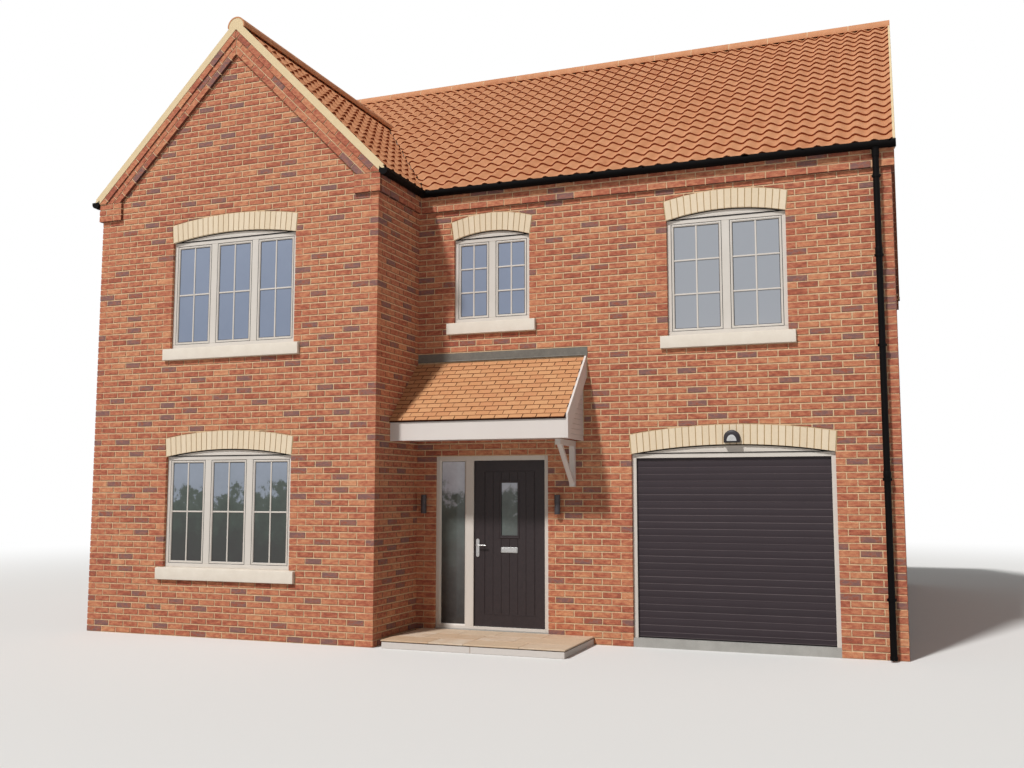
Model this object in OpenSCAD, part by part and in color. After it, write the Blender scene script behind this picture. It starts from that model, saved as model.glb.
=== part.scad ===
// Detached two-storey brick house: a main block with a steep gable block in front of it,
// a lean-to canopy over the front door and a built-in garage.
// Sizes are in millimetres. X runs along the front, Y runs into the house and Z is up.

/* [Plan] */
// Width across the whole front
house_w = 9675; // [9450:75:10500]
// Depth of the main block, front face to rear face
house_d = 9550; // [9000:50:10500]
// Width of the front gable block
gable_w = 4040; // [3940:20:4140]
// How far the gable block stands in front of the main front wall
gable_out = 1105; // [900:5:1300]
// Thickness of the cavity walls
wall_t = 300; // [280:5:340]
// Thickness of the outer brick skin, which carries arches and sills
skin_t = 102.5; // [95:2.5:115]

/* [Levels] */
// Top of the ground floor slab above the ground
floor_z = 100; // [80:5:120]
// Underside of the first floor
ceiling_z = 2550; // [2500:10:2600]
// Thickness of the first floor
first_floor_t = 250; // [200:10:300]
// Heads of the door, garage and ground floor windows
ground_head_z = 2175; // [2125:5:2225]
// Heads of the upper windows
upper_head_z = 4875; // [4825:5:4925]
// Height of one brick course with its joint
course = 75; // [72:1:78]
// Underside of the corbelled eaves band
corbel_z = 5250; // [5220:5:5280]
// Courses in the eaves band and in each kneeler
corbel_courses = 3; // [2:1:3]

/* [Roof] */
// Pitch of the main roof in degrees
main_pitch = 35; // [33:0.5:37]
// Pitch of the gable roof in degrees
gable_pitch = 45; // [43:0.5:46]
// Height of the main roof's surface over the front wall's face
main_eave_z = 5580; // [5560:5:5600]
// Height of the gable roof's surface over its side walls' faces
gable_eave_z = 5620; // [5600:5:5640]
// Plumb thickness of the roof with its tiles, battens and rafters
roof_plumb = 100; // [85:5:120]
// Plumb thickness of the tiles alone, where they reach past the eaves
tile_plumb = 40; // [30:5:50]
// Reach of the tiles past the wall at the eaves
eaves_out = 100; // [90:5:110]
// Reach of the roof past the wall at a gable end
verge_out = 60; // [55:1:80]
// Thickness of the mortar strip that closes a verge
verge_mortar_t = 15; // [10:1:20]
// Outer radius of the half-round ridge tiles
ridge_r = 125; // [110:5:140]
// Height of a ridge tile's crown above the roof surfaces' meeting line
ridge_rise = 62; // [50:2:75]

/* [Brick bands] */
// Projection of the eaves band, the kneelers and the inner raking band
corbel_out = 35; // [25:1:40]
// Projection of the outer raking band under the verge
outer_rake_out = 50; // [45:1:54]
// Length of a kneeler along the gable wall
kneeler_w = 305; // [225:5:340]
// Height of the soldier ring in an arch
ring_h = 220; // [205:5:235]
// Rise of the arches over windows
window_rise = 85; // [70:5:100]
// Rise of the arch over the garage
garage_rise = 95; // [80:5:110]
// Mortar bed between an arch's back and the wall
arch_bed = 0.8; // [0.6:0.1:1.5]
// Length cut off each pointed end of the panels under the arches
panel_end = 12; // [8:1:20]

/* [Windows] */
// Recess of frames behind the brick face
recess = 35; // [25:5:60]
// Depth of the frames
frame_t = 70; // [65:1:80]
// Face width of an outer frame
frame_face = 48; // [40:2:60]
// Face width of a mullion
mullion_w = 90; // [70:5:100]
// Depth of the stop that a sash closes against
stop_t = 20; // [15:1:25]
// Height of that stop past the frame's face
stop_lip = 12; // [8:1:16]
// Gap round a sash, where its dark gasket shows
sash_gap = 3; // [2:0.5:4]
// Face width of a sash
sash_face = 28; // [24:1:34]
// Thickness of a glazing unit
glass_t = 24; // [20:1:28]
// Distance of a sash behind its frame's face
sash_in = 2; // [1:0.5:4]
// Distance of the glass behind its frame's face
pane_in = 14; // [10:1:20]
// Distance of the gable block's windows to the right of the block's middle
gable_window_off = 10; // [0:5:30]
// Width of the gable block's windows
gable_window_w = 1800; // [1700:25:1900]
// Height of the windows with full-height sashes
tall_window_h = 1350; // [1275:75:1425]
// Distance of the small window's left edge from the door set's
small_window_in = 235; // [210:5:260]
// Width of the small window over the door
small_window_w = 1000; // [950:25:1050]
// Height of the small window over the door
small_window_h = 1050; // [975:75:1125]
// Distance of the left edge of the window over the garage from the garage opening's
wide_window_in = 445; // [400:5:500]
// Width of the window over the garage
wide_window_w = 1350; // [1250:25:1450]
// Height of a stone sill
sill_h = 150; // [130:5:160]
// Projection of a sill in front of the brick face
sill_out = 50; // [40:5:60]
// Length of a sill past its window on each side
sill_ear = 80; // [60:5:100]
// Fall of a sill's top towards its front edge
sill_fall = 8; // [4:1:12]

/* [Front door] */
// Width of the pier between the gable block and the door set
door_off = 250; // [220:5:270]
// Width of the door set with its side light
door_set_w = 1465; // [1435:5:1480]
// Face width of the door frame
door_frame_face = 45; // [40:1:55]
// Width of the clear opening that the leaf closes
door_clear_w = 935; // [900:5:950]
// Thickness of the door leaf
leaf_t = 44; // [40:1:50]
// Running gap round the leaf
leaf_gap = 7; // [6.5:0.5:8]
// Height of the threshold bar
threshold_h = 35; // [30:1:40]
// Face width of the beads that hold the side light
side_bead = 20; // [15:1:25]
// Flat border of the leaf round its planked field
leaf_border = 145; // [130:5:150]
// Number of planks in the field
planks = 6; // [5:1:7]
// Depth of the plank grooves
groove_d = 4; // [3:0.5:5]
// Width of the plank grooves at the surface
groove_w = 9; // [6:1:12]
// Width of the leaf's glass
leaf_glass_w = 207; // [190:1:220]
// Height of the leaf's glass
leaf_glass_h = 640; // [600:5:680]
// Lower edge of the leaf's glass above the ground
leaf_glass_z = 1208; // [1180:2:1240]
// Width of the cassette round the leaf's glass
cassette_w = 26; // [20:1:30]
// Height of the cassette above the leaf's face
cassette_h = 7; // [4:1:10]
// Width of the handle's long plates
plate_w = 42; // [36:1:50]
// Length of the handle's long plates
plate_h = 220; // [200:5:240]
// Thickness of the handle's plates and of the letter plate
plate_t = 8; // [6:1:9]
// Distance of the lever's spindle from the leaf's opening edge
spindle_in = 52; // [48:1:60]
// Height of the lever above the ground
lever_z = 1098; // [1050:2:1150]
// Length of the lever from its spindle to its end
lever_len = 128; // [110:2:140]
// Radius of the lever's bar
lever_r = 9; // [8:0.5:11]
// Distance of the lever's bar in front of the leaf
lever_out = 48; // [42:1:55]
// Radius of the spindle through the leaf
spindle_r = 8; // [6:0.5:9]
// Radius of the hinge knuckles
knuckle_r = 9; // [8:0.5:10]
// Radius of the hinge pins
pin_r = 4; // [3:0.5:5]
// Running clearance of pins and spindles
pin_gap = 0.08; // [0.04:0.02:0.1]
// Height of a hinge
hinge_h = 105; // [90:5:120]
// Width of a hinge plate
hinge_w = 38; // [30:2:45]
// Thickness of a hinge plate
hinge_t = 3; // [2.5:0.5:4]
// Distance of the outer hinges from the ends of the leaf
hinge_in = 180; // [150:10:250]
// Width of the letter plate
letter_w = 213; // [200:1:250]
// Height of the letter plate
letter_h = 68; // [60:1:75]
// Middle of the letter plate above the ground
letter_z = 1047; // [1030:1:1060]
// Width of the rim round the letter plate's flap
letter_rim = 9; // [7:1:12]
// Thickness of the letter plate's flap
flap_t = 3; // [2:0.5:4]
// Clearance round the flap
flap_gap = 1.5; // [1:0.5:2]

/* [Garage] */
// Width of the pier between the garage opening and the right corner
garage_in = 660; // [600:5:725]
// Width of the pier between the door set and the garage opening
garage_pier_w = 1010; // [960:10:1100]
// Face width of the garage frame
garage_face = 50; // [40:5:60]
// Depth of the garage frame behind the shutter's inner face
garage_back = 20; // [15:1:30]
// Height of one slat of the roller shutter
slat_h = 77; // [70:1:85]
// Bulge of a slat's face
slat_bulge = 6; // [4:1:8]
// Thickness of the shutter's curtain behind the bulge
curtain_t = 14; // [10:1:18]
// Depth that the curtain's edge enters its guide
guide_in = 25; // [15:5:30]

/* [Canopy and step] */
// Distance of the canopy's right end to the left of the middle of the pier beside the garage
canopy_in = 20; // [0:5:60]
// Reach of the canopy in front of the wall
canopy_out = 745; // [700:5:850]
// Underside of the canopy
canopy_z = 2335; // [2280:5:2350]
// Height of the canopy's fascia
fascia_h = 225; // [210:5:260]
// Thickness of the canopy's boards
board_t = 25; // [18:1:30]
// Thickness of the canopy's tile covering
canopy_tile_t = 32; // [28:1:50]
// Distance of the canopy's boarded cheek behind its bargeboard
cheek_in = 45; // [30:5:60]
// Height of the bargeboard along the canopy's slope, measured plumb
barge_h = 265; // [220:5:300]
// Width of the bargeboard's foot beside the fascia
barge_foot = 110; // [90:5:130]
// Pitch of the canopy in degrees
canopy_pitch = 45; // [40:1:46]
// Reach of the canopy's tiles past its fascia
canopy_drip = 20; // [10:1:30]
// Height of the lead flashing on the wall
flashing_h = 95; // [75:5:120]
// Thickness of the flashing where it lies over its cover strip
flashing_t = 5; // [3:1:8]
// Height of the bracket under the canopy
bracket_h = 535; // [450:5:560]
// Reach of the bracket from the wall
bracket_out = 590; // [540:10:620]
// Width and depth of the bracket's timbers
bracket_t = 65; // [55:5:80]
// Distance of the bracket from the canopy's right end
bracket_in = 140; // [90:5:150]
// Distance of the doorstep from the gable block
step_off = 110; // [70:10:160]
// Reach of the doorstep past the middle of the pier beside the garage
step_past = 40; // [0:5:60]
// Depth of the doorstep in front of the wall
step_d = 1100; // [900:10:1200]
// Height of the doorstep's kerb
kerb_h = 70; // [50:5:80]
// Thickness of the doorstep's flags
flag_t = 25; // [20:5:40]
// Overhang of the flags past the kerb
flag_out = 8; // [4:1:15]

/* [Rainwater goods and lights] */
// Radius of the gutters' round bottom
gutter_r = 56; // [50:1:60]
// Height of the gutters' upright walls above their round bottom
gutter_wall = 19; // [10:1:25]
// Thickness of gutters and pipes
plastic_t = 4; // [3:0.5:5]
// Height of the gutters' top edge
gutter_z = 5506; // [5500:1:5512]
// Outer radius of the downpipes
pipe_r = 34; // [30:1:40]
// Distance of a downpipe from the corner of the house
pipe_in = 148; // [140:2:200]
// Lower end of a downpipe above the ground
pipe_foot_z = 15; // [10:5:40]
// Height of a downpipe's collar
clip_h = 30; // [20:2:40]
// Thickness of a downpipe's collar
clip_t = 6; // [4:1:8]
// Radius of the wall lights
light_r = 34; // [30:1:40]
// Length of the wall lights
light_h = 228; // [200:2:250]
// Middle of the wall lights above the ground
light_z = 1592; // [1550:2:1650]
// Distance of the wall lights from the door set
light_off = 130; // [110:5:140]
// Radius of the half-moon light over the garage
bulkhead_r = 90; // [75:1:95]
// Height of the half-moon light's straight sides
bulkhead_base = 50; // [40:1:60]
// Depth of the half-moon light
bulkhead_d = 70; // [60:2:80]

/* [Hidden] */
$fn = 48;
arc_fn = 360;
slat_fn = 180;
// How far a cutter runs past the face that it cuts
cut = 1;
// Clearance of an arch from its skewbacks
skewback_gap = 0.01;

// Heights of the two roofs' meeting lines and the place where the gable ridge dies out
gable_mid = gable_w / 2;
main_tan = tan(main_pitch);
gable_tan = tan(gable_pitch);
main_ridge_z = main_eave_z + house_d / 2 * main_tan;
gable_ridge_z = gable_eave_z + gable_mid * gable_tan;
ridge_meet_y = (gable_ridge_z - main_eave_z) / main_tan;
roof_margin = 400;
sky_z = main_ridge_z + roof_margin;
kneeler_top = corbel_z + corbel_courses * course;

// Places along the front, each from the wall or opening that it goes with
gable_window_x = gable_mid + gable_window_off - gable_window_w / 2;
door_x = gable_w + door_off;
door_right = door_x + door_set_w;
garage_x = door_right + garage_pier_w;
garage_w = house_w - garage_in - garage_x;
small_window_x = door_x + small_window_in;
wide_window_x = garage_x + wide_window_in;
pier_mid = (door_right + garage_x) / 2;
step_x = gable_w + step_off;
step_w = pier_mid + step_past - step_x;

// Windows as [left edge, sill height, width, height, lights]
gable_windows = [
    [gable_window_x, ground_head_z - tall_window_h, gable_window_w, tall_window_h, 3],
    [gable_window_x, upper_head_z - tall_window_h, gable_window_w, tall_window_h, 3]];
front_windows = [
    [small_window_x, upper_head_z - small_window_h, small_window_w, small_window_h, 2],
    [wide_window_x, upper_head_z - tall_window_h, wide_window_w, tall_window_h, 2]];
rear_side_x = house_w - gable_window_x - gable_window_w;
rear_windows = [
    [gable_window_x, ground_head_z - tall_window_h, gable_window_w, tall_window_h, 3],
    [rear_side_x, ground_head_z - tall_window_h, gable_window_w, tall_window_h, 3],
    [gable_window_x, upper_head_z - tall_window_h, gable_window_w, tall_window_h, 3],
    [(house_w - small_window_w) / 2, upper_head_z - small_window_h, small_window_w, small_window_h, 2],
    [rear_side_x, upper_head_z - tall_window_h, gable_window_w, tall_window_h, 3]];

// Door set
clear_right = door_right - door_frame_face;
clear_left = clear_right - door_clear_w;
clear_top = ground_head_z - door_frame_face;
clear_bottom = floor_z + threshold_h;
side_left = door_x + door_frame_face;
side_right = clear_left - mullion_w;
leaf_w = door_clear_w - 2 * leaf_gap;
leaf_left = clear_left + leaf_gap;
leaf_right = clear_right - leaf_gap;
leaf_mid = (leaf_left + leaf_right) / 2;
leaf_z = clear_bottom + leaf_gap;
leaf_h = clear_top - leaf_gap - leaf_z;
leaf_y = recess + stop_t + leaf_gap;
leaf_back = leaf_y + leaf_t;
spindle_x = leaf_left + spindle_in;
hinge_x = clear_right - leaf_gap / 2;
knuckle_off = 1;
hinge_y = recess + frame_t + knuckle_r + knuckle_off;
hinge_zs = [for (i = [0 : 2]) leaf_z + hinge_in + i * (leaf_h - 2 * hinge_in - hinge_h) / 2];
knuckle_gap = 0.5;
hinge_plate_x = knuckle_r + 3;
plate_below = 0.64 * plate_h;
flap_pin_r = 1.5;
flap_pin_in = 5;
flap_pin_down = 2;
flap_pin_z = letter_z + letter_h / 2 - letter_rim - flap_gap - flap_pin_down;
flap_pin_y = leaf_y - plate_t + flap_t / 2;
slot_ledge = 6;
slot_h = letter_h - 2 * (letter_rim + slot_ledge);
slot_w = letter_w - 2 * (letter_rim + slot_ledge);
guide_gap = 1;

// Canopy
canopy_x = gable_w;
canopy_right = pier_mid - canopy_in;
canopy_w = canopy_right - canopy_x;
canopy_tan = tan(canopy_pitch);
fascia_top = canopy_z + fascia_h;
canopy_top = fascia_top + canopy_out * canopy_tan;
canopy_plumb = canopy_tile_t / cos(canopy_pitch);
flashing_past = 10;

// Gutters and pipes
gutter_y = -(corbel_out + gutter_r);
gutter_x = gable_w + corbel_out + gutter_r;
joint_gap = 0.5;
valley_gap = 0.3;
end_gap = 1;
clip_gap = 0.3;
clip_zs = [615, 1855, 3275, 4245, 5115];
clip_arm_w = 40;

// Lights
light_wall_gap = 20;
light_arm_w = 30;
light_arm_h = 60;
bulkhead_right = 30;
bulkhead_up = 15;

function valley_y(from_mid) = (gable_ridge_z - from_mid * gable_tan - main_eave_z) / main_tan;

// The house is drawn from the main block's front left corner, and stored round the middle of that block
module placed() {
    translate([-house_w / 2, -house_d / 2, 0]) children();
}
module on_gable() {
    translate([0, -gable_out, 0]) children();
}
module on_rear() {
    translate([house_w, house_d, 0]) rotate([0, 0, 180]) children();
}
module along_x(start, length) {
    translate([start, 0, 0]) rotate([90, 0, 90]) linear_extrude(length) children();
}
module along_y(start, length) {
    translate([0, start + length, 0]) rotate([90, 0, 0]) linear_extrude(length) children();
}
module block(low, high) {
    translate(low) cube(high - low);
}

// Everything under the roof surfaces, lowered plumb by drop
module main_roof_outline(drop) {
    end = roof_margin;
    polygon([[-end, 0], [-end, main_eave_z - end * main_tan - drop],
        [house_d / 2, main_ridge_z - drop],
        [house_d + end, main_eave_z - end * main_tan - drop], [house_d + end, 0]]);
}
module gable_roof_outline(drop) {
    end = roof_margin;
    polygon([[-end, 0], [-end, gable_eave_z - end * gable_tan - drop],
        [gable_mid, gable_ridge_z - drop],
        [gable_w + end, gable_eave_z - end * gable_tan - drop], [gable_w + end, 0]]);
}
module under_main_roof(drop) {
    along_x(-roof_margin, house_w + 2 * roof_margin) main_roof_outline(drop);
}
module under_gable_roof(drop) {
    along_y(-gable_out - roof_margin, gable_out + roof_margin + ridge_meet_y)
        gable_roof_outline(drop);
}
module under_roof(drop = roof_plumb) {
    intersection() {
        children();
        union() {
            under_main_roof(drop);
            under_gable_roof(drop);
        }
    }
}

// Segmental arches: w is the span and rise the height of the soffit's crown
function arch_r(w, rise) = (w * w / 4 + rise * rise) / (2 * rise);
function arch_half(w, rise) = asin(w / 2 / arch_r(w, rise));

// The skewbacks point to the arch's centre and pass through the corners of the opening
module arch_wedge(w, rise, below = 0, gap = 0) {
    reach = 3 * ring_h;
    a = arch_half(w, rise);
    half = w / 2 - gap;
    polygon([[half - below * sin(a), -below * cos(a)], [half + reach * sin(a), reach * cos(a)],
        [-half - reach * sin(a), reach * cos(a)], [-half + below * sin(a), -below * cos(a)]]);
}
// Everything from the springing line up to the arch's back, with the bed if one is given
module arch_hole(w, rise, bed = 0) {
    r = arch_r(w, rise);
    intersection() {
        arch_wedge(w, rise);
        translate([0, rise - r]) circle(r = r + ring_h + bed, $fn = arc_fn);
    }
}
module arch_ring(w, rise) {
    r = arch_r(w, rise);
    difference() {
        intersection() {
            arch_wedge(w, rise, ring_h / 4, skewback_gap);
            translate([0, rise - r]) circle(r = r + ring_h, $fn = arc_fn);
        }
        translate([0, rise - r]) circle(r = r, $fn = arc_fn);
    }
}
module arch_infill(w, rise) {
    r = arch_r(w, rise);
    intersection() {
        translate([0, rise - r]) circle(r = r, $fn = arc_fn);
        translate([-w / 2 + panel_end, 0]) square([w - 2 * panel_end, rise]);
    }
}
module over_opening(x, w, head_z) {
    translate([x + w / 2, 0, head_z]) children();
}

// Holes in a wall whose outer face is at y = 0
module window_hole(win) {
    x = win[0];
    z = win[1];
    w = win[2];
    h = win[3];
    block([x, -cut, z], [x + w, wall_t + cut, z + h]);
    over_opening(x, w, z + h) along_y(-cut, skin_t + cut) arch_hole(w, window_rise, arch_bed);
    block([x - sill_ear, -cut, z - sill_h], [x + w + sill_ear, skin_t, z]);
}

// Walls
module gable_front_wall() {
    color("peru") placed() under_roof() on_gable() difference() {
        cube([gable_w, wall_t, sky_z]);
        for (win = gable_windows) window_hole(win);
    }
}
module gable_side_wall() {
    color("peru") placed() under_roof()
        block([gable_w - wall_t, wall_t - gable_out, 0], [gable_w, wall_t, sky_z]);
}
module left_wall() {
    color("peru") placed() under_roof()
        block([0, wall_t - gable_out, 0], [wall_t, house_d - wall_t, sky_z]);
}
module right_wall() {
    color("peru") placed() under_roof()
        block([house_w - wall_t, wall_t, 0], [house_w, house_d - wall_t, sky_z]);
}
module rear_wall() {
    color("peru") placed() under_roof() on_rear() difference() {
        cube([house_w, wall_t, sky_z]);
        for (win = rear_windows) window_hole(win);
    }
}
// The front wall stands as three piers beside the two doorways, with one wall over them
module front_wall_piers() {
    color("peru") placed() {
        block([gable_w, 0, 0], [door_x, wall_t, ground_head_z]);
        block([door_right, 0, 0], [garage_x, wall_t, ground_head_z]);
        block([garage_x + garage_w, 0, 0], [house_w, wall_t, ground_head_z]);
    }
}
module front_wall_upper() {
    color("peru") placed() under_roof() difference() {
        block([gable_w, 0, ground_head_z], [house_w, wall_t, sky_z]);
        for (win = front_windows) window_hole(win);
        over_opening(garage_x, garage_w, ground_head_z)
            along_y(-cut, skin_t + cut) arch_hole(garage_w, garage_rise, arch_bed);
    }
}

// Floors
module ground_floor() {
    color("lightgray") placed() {
        block([wall_t, wall_t, 0], [house_w - wall_t, house_d - wall_t, floor_z]);
        block([wall_t, wall_t - gable_out, 0], [gable_w - wall_t, wall_t, floor_z]);
        block([door_x, 0, 0], [door_right, wall_t, floor_z]);
        block([garage_x, 0, 0], [garage_x + garage_w, wall_t, floor_z]);
    }
}
module first_floor() {
    top = ceiling_z + first_floor_t;
    color("burlywood") placed() {
        block([wall_t, wall_t, ceiling_z], [house_w - wall_t, house_d - wall_t, top]);
        block([wall_t, wall_t - gable_out, ceiling_z], [gable_w - wall_t, wall_t, top]);
    }
}

// Corbelled bands
module eaves_bands() {
    back = house_d + corbel_out;
    color("sienna") placed() under_roof() {
        block([gable_w + corbel_out, -corbel_out, corbel_z], [house_w, 0, sky_z]);
        block([gable_w, -gable_out, corbel_z], [gable_w + corbel_out, 0, sky_z]);
        block([-corbel_out, -gable_out, corbel_z], [0, 0, sky_z]);
        block([0, house_d, corbel_z], [house_w, back, sky_z]);
    }
}
module kneeler(low, high) {
    block([low[0], low[1], corbel_z], [high[0], high[1], kneeler_top]);
}
module kneelers() {
    out = corbel_out;
    back = house_d + corbel_out;
    color("sienna") placed() under_roof() {
        on_gable() {
            kneeler([-out, -out], [kneeler_w, 0]);
            kneeler([gable_w - kneeler_w, -out], [gable_w + out, 0]);
        }
        kneeler([house_w, -out], [house_w + out, kneeler_w]);
        kneeler([house_w, house_d - kneeler_w], [house_w + out, back]);
        kneeler([-out, 0], [0, kneeler_w]);
        kneeler([-out, house_d - kneeler_w], [0, back]);
    }
}
// A band that follows the underside of a roof, between two depths measured square to the slope
module rake(mid, ridge_z, half, pitch, near, far) {
    top = ridge_z - roof_plumb - near / cos(pitch);
    low = ridge_z - roof_plumb - far / cos(pitch);
    intersection() {
        polygon([[mid, top], [mid - half, top - half * tan(pitch)],
            [mid - half, low - half * tan(pitch)], [mid, low],
            [mid + half, low - half * tan(pitch)], [mid + half, top - half * tan(pitch)]]);
        translate([mid - half, kneeler_top]) square([2 * half, sky_z]);
    }
}
module gable_rake(near, far) {
    rake(gable_mid, gable_ridge_z, gable_mid + corbel_out, gable_pitch, near, far);
}
module main_rake(near, far) {
    rake(house_d / 2, main_ridge_z, house_d / 2 + corbel_out, main_pitch, near, far);
}
module raking_bands() {
    rest = corbel_courses * course;
    color("sienna") placed() {
        along_y(-gable_out - outer_rake_out, outer_rake_out) gable_rake(0, course);
        along_y(-gable_out - corbel_out, corbel_out) gable_rake(course, rest);
        along_x(house_w, outer_rake_out) main_rake(0, course);
        along_x(house_w, corbel_out) main_rake(course, rest);
        difference() {
            union() {
                along_x(-outer_rake_out, outer_rake_out) main_rake(0, course);
                along_x(-corbel_out, corbel_out) main_rake(course, rest);
            }
            under_gable_roof(0);
        }
    }
}

// Arches, sills and windows
module all_windows() {
    on_gable() for (win = gable_windows) {
        $win = win;
        children();
    }
    for (win = front_windows) {
        $win = win;
        children();
    }
    on_rear() for (win = rear_windows) {
        $win = win;
        children();
    }
}
module arch(x, w, head_z, rise) {
    over_opening(x, w, head_z) along_y(0, skin_t) arch_ring(w, rise);
}
module brick_arches() {
    color("wheat") placed() {
        all_windows() arch($win[0], $win[2], $win[1] + $win[3], window_rise);
        arch(garage_x, garage_w, ground_head_z, garage_rise);
    }
}
module sill(win) {
    along_x(win[0] - sill_ear, win[2] + 2 * sill_ear)
        polygon([[-sill_out, win[1] - sill_h], [skin_t, win[1] - sill_h], [skin_t, win[1]],
            [recess, win[1]], [-sill_out, win[1] - sill_fall]]);
}
module window_sills() {
    color("cornsilk") placed() all_windows() sill($win);
}
function light_w(win) = (win[2] - 2 * frame_face - (win[4] - 1) * mullion_w) / win[4];
function light_x(win, i) = win[0] + frame_face + i * (light_w(win) + mullion_w);

module frame(win) {
    z = win[1] + frame_face;
    top = win[1] + win[3] - frame_face;
    back = recess + frame_t;
    difference() {
        block([win[0], recess, win[1]], [win[0] + win[2], back, win[1] + win[3]]);
        for (i = [0 : win[4] - 1]) {
            x = light_x(win, i);
            block([x, recess - cut, z], [x + light_w(win), back - stop_t, top]);
            block([x + stop_lip, recess, z + stop_lip],
                [x + light_w(win) - stop_lip, back + cut, top - stop_lip]);
        }
    }
}
module sash_space(win, i, inset, front, back) {
    x = light_x(win, i) + inset;
    z = win[1] + frame_face + inset;
    block([x, front, z], [x + light_w(win) - 2 * inset, back, win[1] + win[3] - frame_face - inset]);
}
module sashes(win) {
    front = recess + sash_in;
    back = recess + frame_t - stop_t;
    for (i = [0 : win[4] - 1]) difference() {
        sash_space(win, i, sash_gap, front, back);
        sash_space(win, i, sash_gap + sash_face, front - cut, back + cut);
    }
}
module panes(win) {
    front = recess + pane_in;
    for (i = [0 : win[4] - 1]) sash_space(win, i, sash_gap + sash_face, front, front + glass_t);
}
module panel(x, w, head_z, rise) {
    over_opening(x, w, head_z) along_y(recess, skin_t - recess) arch_infill(w, rise);
}
module window_frames() {
    color("antiquewhite") placed() all_windows() frame($win);
}
module window_sashes() {
    color("linen") placed() all_windows() sashes($win);
}
// The fixed panes beside the door stand in the middle of the door frame
module side_pane() {
    y = recess + (frame_t - glass_t) / 2;
    block([side_left + side_bead, y, clear_bottom + side_bead],
        [side_right - side_bead, y + glass_t, clear_top - side_bead]);
}
module window_glass() {
    color("lightsteelblue", 0.5) placed() {
        all_windows() panes($win);
        side_pane();
    }
}
module arch_panels() {
    color("antiquewhite") placed() {
        all_windows() panel($win[0], $win[2], $win[1] + $win[3], window_rise);
        panel(garage_x, garage_w, ground_head_z, garage_rise);
    }
}

// Front door: the frame's front stop stands in front of the leaf, which opens into the house
module door_frame() {
    back = recess + frame_t;
    color("antiquewhite") placed() difference() {
        block([door_x, recess, floor_z], [door_right, back, ground_head_z]);
        block([clear_left + stop_lip, recess - cut, clear_bottom],
            [clear_right - stop_lip, back, clear_top - stop_lip]);
        block([clear_left, recess + stop_t, clear_bottom], [clear_right, back + cut, clear_top]);
        block([side_left + side_bead, recess - cut, clear_bottom + side_bead],
            [side_right - side_bead, back + cut, clear_top - side_bead]);
    }
}
module leaf_blank() {
    block([leaf_left, leaf_y, leaf_z], [leaf_right, leaf_back, leaf_z + leaf_h]);
}
module groove(x) {
    translate([x, leaf_y, leaf_z + leaf_border])
        linear_extrude(leaf_h - 2 * leaf_border)
        polygon([[-groove_w / 2, -cut], [-groove_w / 2, 0], [0, groove_d],
            [groove_w / 2, 0], [groove_w / 2, -cut]]);
}
module door_leaf() {
    field_w = leaf_w - 2 * leaf_border;
    color("darkslategray") placed() difference() {
        leaf_blank();
        for (i = [0 : planks]) groove(leaf_left + leaf_border + i * field_w / planks);
        block([leaf_mid - leaf_glass_w / 2, leaf_y - cut, leaf_glass_z],
            [leaf_mid + leaf_glass_w / 2, leaf_back + cut, leaf_glass_z + leaf_glass_h]);
        block([leaf_mid - slot_w / 2, leaf_y - cut, letter_z - slot_h / 2],
            [leaf_mid + slot_w / 2, leaf_back + cut, letter_z + slot_h / 2]);
        translate([spindle_x, leaf_y - cut, lever_z]) rotate([-90, 0, 0])
            cylinder(r = spindle_r + pin_gap, h = leaf_t + 2 * cut);
    }
}
module cassette(front, back) {
    difference() {
        block([leaf_mid - leaf_glass_w / 2 - cassette_w, front, leaf_glass_z - cassette_w],
            [leaf_mid + leaf_glass_w / 2 + cassette_w, back, leaf_glass_z + leaf_glass_h + cassette_w]);
        block([leaf_mid - leaf_glass_w / 2, front - cut, leaf_glass_z],
            [leaf_mid + leaf_glass_w / 2, back + cut, leaf_glass_z + leaf_glass_h]);
    }
}
module door_glass_frame() {
    color("dimgray") placed() {
        cassette(leaf_y - cassette_h, leaf_y);
        cassette(leaf_back, leaf_back + cassette_h);
    }
}
module door_glass() {
    y = leaf_y + (leaf_t - glass_t) / 2;
    color("lightsteelblue", 0.5) placed()
        block([leaf_mid - leaf_glass_w / 2, y, leaf_glass_z],
            [leaf_mid + leaf_glass_w / 2, y + glass_t, leaf_glass_z + leaf_glass_h]);
}
module handle_plate(y) {
    low = lever_z - plate_below;
    difference() {
        block([spindle_x - plate_w / 2, y, low], [spindle_x + plate_w / 2, y + plate_t, low + plate_h]);
        translate([spindle_x, y - cut, lever_z]) rotate([-90, 0, 0])
            cylinder(r = spindle_r + pin_gap, h = plate_t + 2 * cut);
    }
}
module handle_plates() {
    color("silver") placed() {
        handle_plate(leaf_y - plate_t);
        handle_plate(leaf_back);
    }
}
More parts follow.
